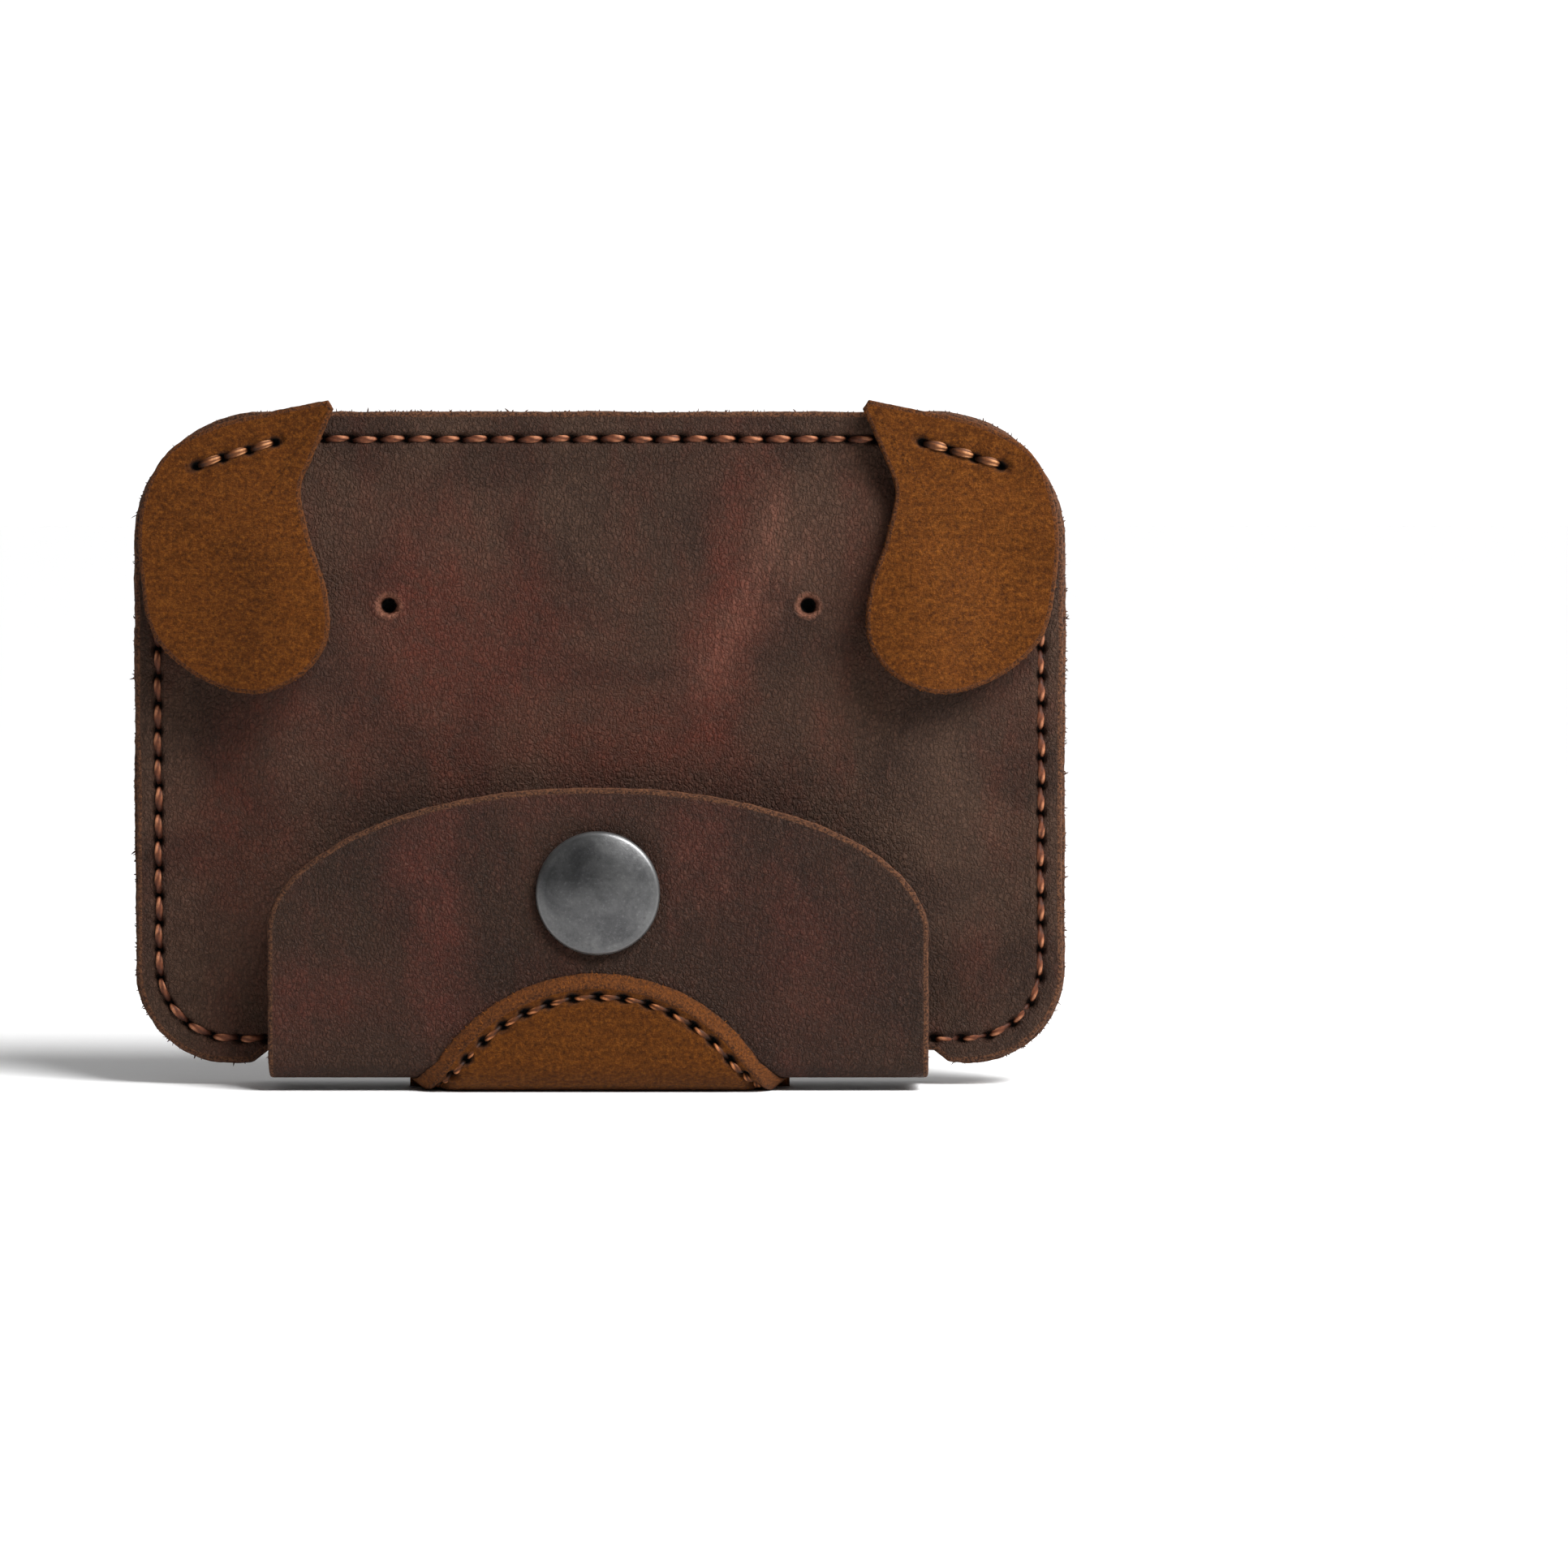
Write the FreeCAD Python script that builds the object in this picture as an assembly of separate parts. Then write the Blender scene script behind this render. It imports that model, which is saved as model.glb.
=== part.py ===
"""Leather snap pouch wallet with a dog's face: ears, eyes, snout flap, mouth patch and snap nose.

Millimetres. +Z up, front towards -Y, origin on the floor under the middle of the pouch.
"""
import FreeCAD, Part
import math
import os

V = FreeCAD.Vector
X_AXIS = V(1, 0, 0)
Y_AXIS = V(0, 1, 0)
Z_AXIS = V(0, 0, 1)

# leather
HIDE = 1.9              # dark panels and flap
TAN = 1.5               # mouth patch
EAR = 1.7               # ears
GAP = 0.3               # clearance between pieces that move apart

# pouch body
BODY_HALF_W = 54.1
BODY_TOP = 78.5
BODY_BOTTOM = 2.4       # bottom edge on each side of the flap
MOUTH_BOTTOM = 3.7      # bottom edge between the flap's sides, above the fold
MOUTH_HALF_W = 38.9     # where the higher part of the bottom edge ends
MOUTH_STEP = 1.2        # width of the slope down from it
BACK_SHOWS = 0.4        # how far the back panel shows past the front panel
R_TOP = 15.3
R_BOTTOM = 11.0
SEAM_BAND = 6.2         # flat band where the two panels lie on each other
SWELL = 2.6             # how far each panel stands off the middle plane
MID_Y = 2.25            # middle plane between the panels
PLATEAU_TOP = 59.3

# flap and mouth patch, folded round the bottom
HALF_BUNDLE = 8.25      # middle of the bottom to the patch's outer face
FLAP_HALF_W = 38.0
FLAP_STRAIGHT = 18.4    # where the flap's straight sides end
FLAP_RISE = 16.7        # rise of the half ellipse above them
PATCH_R = 22.05
PATCH_STITCH_R = 19.4
PATCH_STITCHES = 42
FOLD_R = 2.5            # outside radius of the patch where it turns

# snap, 14 mm cap
SNAP_Z = 23.0
CAP_R = 7.15
CAP_H = 2.3
SOCKET_R = 6.0
SOCKET_BORE = 3.4
STUD_R = 2.75
SHANK_R = 2.0

# eyes
EYE_X = 24.2
EYE_Z = 55.9
EYE_R = 0.87

# ears, outline of the left one as (x, z), from the tip down its inner side
EAR_OUTLINE = [
    (-31.0, 78.9), (-33.2, 73.6), (-34.6, 69.3), (-33.6, 63.9), (-31.6, 57.6), (-31.6, 51.8),
    (-34.8, 47.7), (-40.1, 45.8), (-46.4, 47.7), (-51.5, 52.5), (-53.1, 59.6), (-53.1, 66.7),
    (-50.5, 73.3), (-44.9, 76.9), (-38.0, 78.6), (-31.6, 79.9),
]
EAR_HINGE = (-42.0, 71.9)   # a point on the line that the lobe bends about
EAR_SLOPE = 18.0            # degrees, rise of that line towards the pouch's middle
EAR_TILT = 7.5              # degrees that the lobe stands off the panel
EAR_LIFT = 1.1              # the ear's back above the panel: it lies over the seam's stitches
EAR_HOLES = 4

# thread
THREAD = 0.8            # height of a stitch above the leather
THREAD_W = 0.66
LEG = 0.28              # the two legs in each hole stand side by side
LEG_GAP = 0.08          # from the hole's middle to each leg
HOLE_R = 0.5
SEAM_PITCH = 3.2
SEAM_IN = 2.9           # seam line in from the sides
SEAM_UP = 3.1           # and up from the bottom edge and down from the top one
SEAM_START_X = 38.8     # the seam starts and ends beside the flap
GROOVE = 0.85           # depth of the groove where the thread lies below the surface

PANEL_FRONT = MID_Y - SWELL - HIDE
FLAP_OUT = HALF_BUNDLE - TAN
FLAP_IN = FLAP_OUT - HIDE


def rounded_wire(corners, y):
    """Closed wire in the plane at y, through (x, z, radius) corners."""
    edges = []
    points = [V(x, y, z) for x, z, _ in corners]
    ends = []
    for i, (_, _, radius) in enumerate(corners):
        to_prev = (points[i - 1] - points[i]).normalize()
        to_next = (points[(i + 1) % len(points)] - points[i]).normalize()
        half = to_prev.getAngle(to_next) / 2
        run = radius / math.tan(half)
        first = points[i] + to_prev * run
        last = points[i] + to_next * run
        middle = (to_prev + to_next).normalize()
        centre = points[i] + middle * (radius / math.sin(half))
        ends.append((first, last, centre - middle * radius))
    for i, (first, last, mid) in enumerate(ends):
        if corners[i][2] > 0:
            edges.append(Part.Arc(first, mid, last).toShape())
        following = ends[(i + 1) % len(ends)][0]
        if last.distanceToPoint(following) > 1e-4:
            edges.append(Part.makeLine(last, following))
    return Part.Wire(edges)


def prism(wire, y_from, y_to):
    """Solid from a wire drawn in the plane at y_from, drawn out to y_to."""
    return Part.Face(wire).extrude(V(0, y_to - y_from, 0))


def mirrored(half):
    """Corners of the whole outline from those of its right half, bottom to top."""
    return half + [(-x, z, r) for x, z, r in reversed(half)]


def y_cylinder(x, z, radius, y_from, y_to):
    low = min(y_from, y_to)
    return Part.makeCylinder(radius, abs(y_to - y_from), V(x, low, z), Y_AXIS)


def panel_outline(inset, y):
    width = BODY_HALF_W - inset
    low = BODY_BOTTOM + inset
    half = [(width, low, R_BOTTOM - inset), (width, BODY_TOP, R_TOP - inset)]
    return rounded_wire(mirrored(half), y)


def swell_outlines(neck_foot, neck_top, plateau_half_w):
    """Foot and top outlines of the swollen part of a panel. It is open at the pouch's mouth."""
    foot_w = BODY_HALF_W - SEAM_BAND
    foot = [(neck_foot, 1.0, 0), (neck_foot, 7.5, 0), (foot_w, 14.0, 4.0),
            (foot_w, BODY_TOP - SEAM_BAND, R_TOP - SEAM_BAND)]
    top = [(neck_top, 1.0, 0), (neck_top, 10.0, 0), (plateau_half_w, 24.0, 4.0),
           (plateau_half_w, PLATEAU_TOP, 3.0)]
    return mirrored(foot), mirrored(top)


def swell(outlines, y_foot, y_top):
    foot, top = outlines
    return Part.makeLoft([rounded_wire(foot, y_foot), rounded_wire(top, y_top)], True, True)


def dished_panel(inset, outlines, side):
    """One panel: a flat seam band round a swollen middle. side is -1 for the front, 1 for the back."""
    skin = MID_Y + side * HIDE
    plate = prism(panel_outline(inset, MID_Y), MID_Y, skin)
    bump = swell(outlines, skin, skin + side * SWELL)
    hollow = swell(outlines, MID_Y, MID_Y + side * SWELL)
    limits = prism(panel_outline(inset, MID_Y), MID_Y, skin + side * (SWELL + 1))
    high = MOUTH_BOTTOM + inset
    low = high - 2 * (MOUTH_BOTTOM - BODY_BOTTOM)
    notch = mirrored([(MOUTH_HALF_W + 2 * MOUTH_STEP, low, 0), (MOUTH_HALF_W, high, 0)])
    mouth = prism(rounded_wire(notch, MID_Y - 10), MID_Y - 10, MID_Y + 10)
    return plate.fuse(bump).common(limits).cut(hollow).removeSplitter().cut(mouth)


def seam_point(s):
    """Point (x, z) at distance s from the seam's start, along its left half and then its right."""
    half_w = BODY_HALF_W - SEAM_IN
    low = BODY_BOTTOM + SEAM_UP
    high = BODY_TOP - SEAM_UP
    r_low = R_BOTTOM - 2.7
    r_high = R_TOP - 3.0
    bottom = half_w - r_low - SEAM_START_X
    low_arc = r_low * math.pi / 2
    side = high - r_high - low - r_low
    high_arc = r_high * math.pi / 2
    top = half_w - r_high
    half = bottom + low_arc + side + high_arc + top
    if s > half:
        x, z = seam_point(2 * half - s)
        return -x, z
    if s < bottom:
        return -(SEAM_START_X + s), low
    s -= bottom
    if s < low_arc:
        turn = s / r_low
        return -(half_w - r_low + r_low * math.sin(turn)), low + r_low - r_low * math.cos(turn)
    s -= low_arc
    if s < side:
        return -half_w, low + r_low + s
    s -= side
    if s < high_arc:
        turn = s / r_high
        return -(half_w - r_high + r_high * math.cos(turn)), high - r_high + r_high * math.sin(turn)
    return -(top - (s - high_arc)), high


def seam_holes():
    half_w = BODY_HALF_W - SEAM_IN
    r_low = R_BOTTOM - 2.7
    r_high = R_TOP - 3.0
    straight = half_w - r_low - SEAM_START_X + half_w - r_high
    straight += (BODY_TOP - SEAM_UP - r_high) - (BODY_BOTTOM + SEAM_UP + r_low)
    length = 2 * (straight + (r_low + r_high) * math.pi / 2)
    count = round(length / SEAM_PITCH)
    return [seam_point(i * length / count) for i in range(count + 1)]


def ear_hole_range(holes):
    """First and last seam hole that also holds the left ear."""
    nearest = min(range(len(holes) // 2), key=lambda i: abs(holes[i][0] + 47.0) + abs(holes[i][1] - 72.0))
    return nearest, nearest + EAR_HOLES - 1


def back_skin(x, z):
    """Outer face of the back panel at a seam hole. Beside the flap it is already rising."""
    foot = BACK_SWELL[0][0][0]
    top = BACK_SWELL[1][0][0]
    rise = max(0.0, min(1.0, (foot - abs(x)) / (foot - top)))
    if z > 8 or rise == 0:
        return MID_Y + HIDE
    return MID_Y + HIDE + SWELL * rise + 0.08


def stitch(hole_a, hole_b, outward, depth):
    """One stitch on a surface, with its two legs down the holes at hole_a and hole_b."""
    along = hole_b - hole_a
    length = along.Length
    along = along.normalize()
    side = outward.cross(along).normalize()
    near = LEG_GAP
    far = LEG_GAP + LEG
    profile = [(near, -depth), (far, -depth), (far, 0), (length - far, 0), (length - far, -depth),
               (length - near, -depth), (length - near, THREAD * 0.55), (length - far, THREAD),
               (far, THREAD), (near, THREAD * 0.55)]
    start = hole_a - side * (THREAD_W / 2)
    points = [start + along * u + outward * v for u, v in profile]
    return Part.Face(Part.makePolygon(points + points[:1])).extrude(side * THREAD_W)


def drill(shape, holes, direction, reach):
    """Cut thread holes, given their centres, through everything within reach along direction."""
    tools = []
    for hole in holes:
        tools.append(Part.makeCylinder(HOLE_R, 2 * reach, hole - direction * reach, direction))
    return shape.cut(Part.makeCompound(tools))


def fold_profile(outer, outer_r, inner, inner_r, x_half):
    """U-shaped band round the bottom: outer and inner are the distances of its faces from x axis plane."""
    floor_out = HALF_BUNDLE - outer
    floor_in = HALF_BUNDLE - inner
    high = FLAP_STRAIGHT + FLAP_RISE + 1

    def half_u(reach, floor, radius):
        return [(reach, high), (reach, floor + radius), (reach - radius, floor)]

    def edges_of(reach, floor, radius):
        right = half_u(reach, floor, radius)
        left = [(-y, z) for y, z in reversed(right)]
        drawn = [Part.makeLine(V(0, *right[0]), V(0, *right[1]))]
        slack = radius * (1 - math.sqrt(0.5))
        if radius > 0:
            mid = V(0, reach - slack, floor + slack)
            drawn.append(Part.Arc(V(0, *right[1]), mid, V(0, *right[2])).toShape())
        drawn.append(Part.makeLine(V(0, *right[2]), V(0, *left[0])))
        if radius > 0:
            mid = V(0, -reach + slack, floor + slack)
            drawn.append(Part.Arc(V(0, *left[0]), mid, V(0, *left[1])).toShape())
        drawn.append(Part.makeLine(V(0, *left[1]), V(0, *left[2])))
        return drawn

    edges = edges_of(outer, floor_out, outer_r) + edges_of(inner, floor_in, inner_r)
    edges.append(Part.makeLine(V(0, outer, high), V(0, inner, high)))
    edges.append(Part.makeLine(V(0, -outer, high), V(0, -inner, high)))
    wire = Part.Wire(Part.__sortEdges__(edges))
    solid = Part.Face(wire).extrude(V(2 * x_half, 0, 0))
    solid.translate(V(-x_half, 0, 0))
    return solid


def wedge(side):
    """The region in front of (-1) or behind (1) the bottom part of the fold, less half the gap."""
    shift = GAP / math.sqrt(2)
    far = 200.0
    corner = side * HALF_BUNDLE
    points = [V(-far, corner, shift), V(-far, 0, HALF_BUNDLE + shift), V(-far, 0, far),
              V(-far, corner + side * far, far), V(-far, corner + side * far, shift)]
    return Part.Face(Part.makePolygon(points + points[:1])).extrude(V(2 * far, 0, 0))


def under_wedge():
    """The region of the bottom part of the fold, less half the gap at each end."""
    shift = GAP / math.sqrt(2)
    reach = HALF_BUNDLE - shift
    points = [V(-200, -reach, 0), V(-200, reach, 0), V(-200, 0, reach)]
    return Part.Face(Part.makePolygon(points + points[:1])).extrude(V(400, 0, 0))


def flap_face():
    """Outline of the flap seen from the front, as a prism right through the pouch."""
    low = -1.0
    a = V(-FLAP_HALF_W, -30, low)
    b = V(FLAP_HALF_W, -30, low)
    c = V(FLAP_HALF_W, -30, FLAP_STRAIGHT)
    d = V(-FLAP_HALF_W, -30, FLAP_STRAIGHT)
    ellipse = Part.Ellipse(c, V(0, -30, FLAP_STRAIGHT + FLAP_RISE), V(0, -30, FLAP_STRAIGHT))
    arc = ellipse.toShape(0, math.pi)
    if arc.valueAt(arc.FirstParameter + 0.5).z < FLAP_STRAIGHT:
        arc = ellipse.toShape(math.pi, 2 * math.pi)
    wire = Part.Wire([Part.makeLine(a, b), Part.makeLine(b, c), arc, Part.makeLine(d, a)])
    return Part.Face(wire).extrude(V(0, 60, 0))


def patch_holes():
    """Stitch holes of the patch as (face, point), face being front, fold or back."""
    holes = []
    for i in range(PATCH_STITCHES):
        angle = math.radians(90 + i * 360 / PATCH_STITCHES)
        x = PATCH_STITCH_R * math.cos(angle)
        run = PATCH_STITCH_R * math.sin(angle)
        if abs(run) < HALF_BUNDLE:
            near_turn = abs(run) > HALF_BUNDLE - 2.9
            holes.append(("turn" if near_turn else "fold", V(x, -run, 0)))
        else:
            near_turn = abs(run) < HALF_BUNDLE + 2.9
            face = "front" if run > 0 else "back"
            y = -HALF_BUNDLE if run > 0 else HALF_BUNDLE
            holes.append(("turn" if near_turn else face, V(x, y, abs(run) - HALF_BUNDLE)))
    return holes


def make_patch_thread(holes, face, outward, outer_shift, inner_shift, depth):
    """Stitches on both sides of one part of the patch."""
    stitches = []
    for i, (kind, point) in enumerate(holes):
        next_kind, next_point = holes[(i + 1) % len(holes)]
        if kind != face or next_kind != face:
            continue
        lift = outward * outer_shift
        stitches.append(stitch(point + lift, next_point + lift, outward, depth))
        sink = outward * inner_shift
        stitches.append(stitch(point + sink, next_point + sink, outward * -1, depth))
    return Part.makeCompound(stitches)


def make_flap_pieces(holes):
    """The flap's leather and the patch over it, each split where it turns."""
    hide = fold_profile(FLAP_OUT, FOLD_R - TAN, FLAP_IN, 0, FLAP_HALF_W)
    hide = hide.common(flap_face())
    tan = fold_profile(HALF_BUNDLE, FOLD_R, FLAP_OUT, FOLD_R - TAN, 25.0)
    upright_disc = y_cylinder(0, -HALF_BUNDLE, PATCH_R, -20, 20)
    flat_disc = Part.makeCylinder(PATCH_R, 40, V(0, 0, -20), Z_AXIS)
    ahead = wedge(-1)
    behind = wedge(1)
    under = under_wedge()

    front_holes = [point for face, point in holes if face == "front"]
    fold_holes = [point for face, point in holes if face == "fold"]
    back_holes = [point for face, point in holes if face == "back"]
    ring = Part.makeCylinder(PATCH_STITCH_R + 0.65, 10, V(0, 0, 0), Z_AXIS)
    ring = ring.cut(Part.makeCylinder(PATCH_STITCH_R - 0.65, 10, V(0, 0, 0), Z_AXIS))
    outer_ring = ring.copy()
    outer_ring.translate(V(0, 0, GROOVE - 10))
    inner_ring = ring.copy()
    inner_ring.translate(V(0, 0, HALF_BUNDLE - FLAP_IN - GROOVE))

    snap_hole = y_cylinder(0, SNAP_Z, SHANK_R + 0.1, -20, 0)
    flap = drill(hide.common(ahead).cut(snap_hole), front_holes, Y_AXIS, 6)
    fold = drill(hide.common(under).cut(inner_ring), fold_holes, Z_AXIS, 6)
    tongue = hide.common(behind)
    tongue = tongue.common(Part.makeBox(200, 40, MOUTH_BOTTOM + 1.5, V(-100, 0, 0)))
    patch_front = drill(tan.common(ahead).common(upright_disc), front_holes, Y_AXIS, 6)
    patch_fold = drill(tan.common(under).common(flat_disc).cut(outer_ring), fold_holes, Z_AXIS, 6)
    patch_back = drill(tan.common(behind).common(upright_disc), back_holes, Y_AXIS, 3)
    return flap, fold, tongue, patch_front, patch_fold, patch_back


def make_front_panel(seam):
    panel = dished_panel(BACK_SHOWS, FRONT_SWELL, -1)
    cuts = [y_cylinder(x, EYE_Z, EYE_R, -10, 10) for x in (-EYE_X, EYE_X)]
    cuts.append(y_cylinder(0, SNAP_Z, SHANK_R + 0.1, -10, 10))
    panel = panel.cut(Part.makeCompound(cuts))
    return drill(panel, [V(x, MID_Y, z) for x, z in seam], Y_AXIS, 10)


def make_back_panel(seam, tongue, patch_back_holes):
    panel = dished_panel(0.0, BACK_SWELL, 1).fuse(tongue).removeSplitter()
    groove = y_cylinder(0, -HALF_BUNDLE, PATCH_STITCH_R + 0.65, FLAP_IN - 1, FLAP_IN + GROOVE)
    groove = groove.cut(y_cylinder(0, -HALF_BUNDLE, PATCH_STITCH_R - 0.65, FLAP_IN - 1, FLAP_IN + GROOVE))
    groove = groove.common(Part.makeBox(60, 40, 30, V(-30, -20, 2.6)))
    panel = panel.cut(groove)
    panel = drill(panel, [V(x, MID_Y, z) for x, z in seam], Y_AXIS, 10)
    return drill(panel, patch_back_holes, Y_AXIS, 4)


def ear_wire():
    points = [V(x, 0, z) for x, z in EAR_OUTLINE]
    curve = Part.BSplineCurve()
    curve.interpolate(points)
    return Part.Wire([curve.toShape(), Part.makeLine(points[-1], points[0])])


def make_left_ear(seam, first, last):
    """Base, held on the seam, and lobe, tilted off the panel about the line that it bends on."""
    back = MID_Y - HIDE - EAR_LIFT
    plate = Part.Face(ear_wire()).extrude(V(0, -EAR, 0))
    plate.translate(V(0, back, 0))
    rise = math.radians(EAR_SLOPE)
    along = V(math.cos(rise), 0, math.sin(rise))
    down = V(math.sin(rise), 0, -math.cos(rise))
    pivot = V(EAR_HINGE[0], back - EAR, EAR_HINGE[1])
    block = Part.makeBox(80, 20, 80, V(-40, -10, GAP / 2))
    turn = FreeCAD.Rotation(along, Y_AXIS, down * -1, "XYZ")
    above = block.copy()
    above.Placement = FreeCAD.Placement(pivot, turn)
    below = block.copy()
    below.Placement = FreeCAD.Placement(pivot, FreeCAD.Rotation(along * -1, Y_AXIS, down, "XYZ"))

    base = drill(plate.common(above), [V(x, back, z) for x, z in seam[first:last + 1]], Y_AXIS, 6)
    lobe = plate.common(below)
    lobe.rotate(pivot, along, -EAR_TILT)
    return base, lobe


def mirror_x(shape):
    return shape.mirror(V(0, 0, 0), X_AXIS)


def make_ear_thread(seam, first, last):
    surface = MID_Y - HIDE - EAR_LIFT - EAR
    stitches = []
    for i in range(first, last):
        a = V(seam[i][0], surface, seam[i][1])
        b = V(seam[i + 1][0], surface, seam[i + 1][1])
        stitches.append(stitch(a, b, Y_AXIS * -1, EAR + EAR_LIFT + HIDE - 0.1))
    return Part.makeCompound(stitches)


def make_seam_thread(seam, first, last):
    """Stitches on both sides of the pouch. On the ears the front ones belong to the ear's thread."""
    count = len(seam)
    on_ear = set(range(first, last)) | set(range(count - 1 - last, count - 1 - first))
    stitches = []
    for i in range(count - 1):
        ax, az = seam[i]
        bx, bz = seam[i + 1]
        if i not in on_ear:
            front = MID_Y - HIDE
            stitches.append(stitch(V(ax, front, az), V(bx, front, bz), Y_AXIS * -1, HIDE - 0.1))
        skin_a = back_skin(ax, az)
        skin_b = back_skin(bx, bz)
        depth = min(skin_a, skin_b) - MID_Y - 0.1
        stitches.append(stitch(V(ax, skin_a, az), V(bx, skin_b, bz), Y_AXIS, depth))
    return Part.makeCompound(stitches)


def turned(profile):
    """Solid of revolution about the snap's axis from (radius, y) points."""
    points = [V(radius, y, SNAP_Z) for radius, y in profile]
    return Part.Face(Part.makePolygon(points + points[:1])).revolve(V(0, 0, SNAP_Z), Y_AXIS, 360)


def make_snap():
    face = -FLAP_OUT
    rim = face - 0.9
    crown = face - CAP_H
    dome_w = CAP_R - 0.45
    dome_r = (dome_w ** 2 + (rim - crown) ** 2) / (2 * (rim - crown))
    half_turn = math.asin(dome_w / dome_r) / 2
    dome_mid = V(dome_r * math.sin(half_turn), crown + dome_r * (1 - math.cos(half_turn)), SNAP_Z)
    outline = Part.Wire([
        Part.makeLine(V(0, -FLAP_IN, SNAP_Z), V(SHANK_R, -FLAP_IN, SNAP_Z)),
        Part.makeLine(V(SHANK_R, -FLAP_IN, SNAP_Z), V(SHANK_R, face, SNAP_Z)),
        Part.makeLine(V(SHANK_R, face, SNAP_Z), V(dome_w, face, SNAP_Z)),
        Part.Arc(V(dome_w, face, SNAP_Z), V(CAP_R, face - 0.45, SNAP_Z), V(dome_w, rim, SNAP_Z)).toShape(),
        Part.Arc(V(dome_w, rim, SNAP_Z), dome_mid, V(0, crown, SNAP_Z)).toShape(),
        Part.makeLine(V(0, crown, SNAP_Z), V(0, -FLAP_IN, SNAP_Z)),
    ])
    cap = Part.Face(outline).revolve(V(0, 0, SNAP_Z), Y_AXIS, 360)

    back = -FLAP_IN
    mouth = PANEL_FRONT - 0.8
    floor = back + 0.35
    socket = turned([(0, back), (SOCKET_R, back), (SOCKET_R, mouth - 0.4), (SOCKET_R - 0.5, mouth),
                     (SOCKET_BORE + 0.3, mouth), (SOCKET_BORE, mouth - 0.3), (SOCKET_BORE, floor),
                     (0, floor)])
    stud = turned([(0, PANEL_FRONT), (5.4, PANEL_FRONT), (5.1, PANEL_FRONT - 0.45),
                   (STUD_R - 0.35, PANEL_FRONT - 0.45), (STUD_R - 0.35, PANEL_FRONT - 1.1),
                   (STUD_R, PANEL_FRONT - 1.5), (STUD_R - 0.45, PANEL_FRONT - 1.9),
                   (0, PANEL_FRONT - 1.9)])
    inner = MID_Y - SWELL
    post = turned([(0, PANEL_FRONT), (SHANK_R, PANEL_FRONT), (SHANK_R, inner), (5.0, inner),
                   (4.6, inner + 0.55), (0, inner + 0.55)])
    return cap, socket, stud, post


FRONT_SWELL = swell_outlines(38.6, 30.0, 34.9)
BACK_SWELL = swell_outlines(43.0, 38.2, 38.4)


def main():
    os.makedirs("parts", exist_ok=True)
    seam = seam_holes()
    first, last = ear_hole_range(seam)
    patch = patch_holes()
    back_holes = [point for face, point in patch if face == "back"]

    flap, fold, tongue, patch_front, patch_fold, patch_back = make_flap_pieces(patch)
    cap, socket, stud, post = make_snap()
    base, lobe = make_left_ear(seam, first, last)
    ear_thread = make_ear_thread(seam, first, last)
    pair = (HALF_BUNDLE - FLAP_IN) / 2 - 0.05
    nodes = {
        "front_panel": make_front_panel(seam),
        "back_panel": make_back_panel(seam, tongue, back_holes),
        "flap_fold": fold,
        "snout_flap": flap,
        "patch_front": patch_front,
        "patch_fold": patch_fold,
        "patch_back": patch_back,
        "ear_left_base": base,
        "ear_left_lobe": lobe,
        "ear_right_base": mirror_x(base),
        "ear_right_lobe": mirror_x(lobe),
        "snap_cap": cap,
        "snap_socket": socket,
        "snap_stud": stud,
        "snap_post": post,
        "seam_thread": make_seam_thread(seam, first, last),
        "ear_left_thread": ear_thread,
        "ear_right_thread": mirror_x(ear_thread),
        "patch_thread_front": make_patch_thread(patch, "front", Y_AXIS * -1, 0, FLAP_IN - HALF_BUNDLE, pair),
        "patch_thread_fold": make_patch_thread(patch, "fold", Z_AXIS * -1, -GROOVE,
                                               FLAP_IN - HALF_BUNDLE + GROOVE, pair - GROOVE),
        "patch_thread_back": make_patch_thread(patch, "back", Y_AXIS, 0,
                                               FLAP_IN - HALF_BUNDLE + GROOVE, pair - GROOVE / 2),
    }
    for name, shape in nodes.items():
        shape.exportStep("parts/" + name + ".step")


main()
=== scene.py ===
import bpy
import itertools
import math
import numpy as np
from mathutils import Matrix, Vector


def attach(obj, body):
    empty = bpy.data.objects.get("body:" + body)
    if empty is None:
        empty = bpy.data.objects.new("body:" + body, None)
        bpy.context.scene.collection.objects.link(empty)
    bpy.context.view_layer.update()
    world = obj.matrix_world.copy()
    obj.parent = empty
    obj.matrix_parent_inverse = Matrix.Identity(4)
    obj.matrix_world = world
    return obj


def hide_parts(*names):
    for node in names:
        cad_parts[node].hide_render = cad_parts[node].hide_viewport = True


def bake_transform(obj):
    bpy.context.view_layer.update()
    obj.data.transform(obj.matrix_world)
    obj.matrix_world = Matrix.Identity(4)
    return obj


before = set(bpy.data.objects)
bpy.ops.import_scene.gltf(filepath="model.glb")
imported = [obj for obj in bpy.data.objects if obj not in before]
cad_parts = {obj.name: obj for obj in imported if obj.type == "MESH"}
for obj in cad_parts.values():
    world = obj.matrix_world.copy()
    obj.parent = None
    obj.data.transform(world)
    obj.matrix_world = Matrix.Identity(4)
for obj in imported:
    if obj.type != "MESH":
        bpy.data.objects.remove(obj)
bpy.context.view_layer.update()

# All sizes below are millimetres in the part's frame; MM turns them into metres.
MM = 0.001
HIDE, TAN, EAR = 1.9, 1.5, 1.7
MID_Y, SWELL = 2.25, 2.6
HALF_W, TOP, BOTTOM, MOUTH_BOTTOM = 54.1, 78.2, 2.4, 3.7
MOUTH_W = 38.9                  # half width of the higher part of the bottom edge
SNAP_Z = 23.0
FLAP_W, FLAP_STRAIGHT, FLAP_RISE = 38.0, 18.4, 16.7
PATCH_R, RING_R, RING_N = 22.05, 19.4, 42
HALF_BUNDLE = 8.25
FOLD_R = 2.0                    # radius of the flap's outer face where it turns
FLAP_Y = HALF_BUNDLE - TAN      # the flap's outer face
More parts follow.
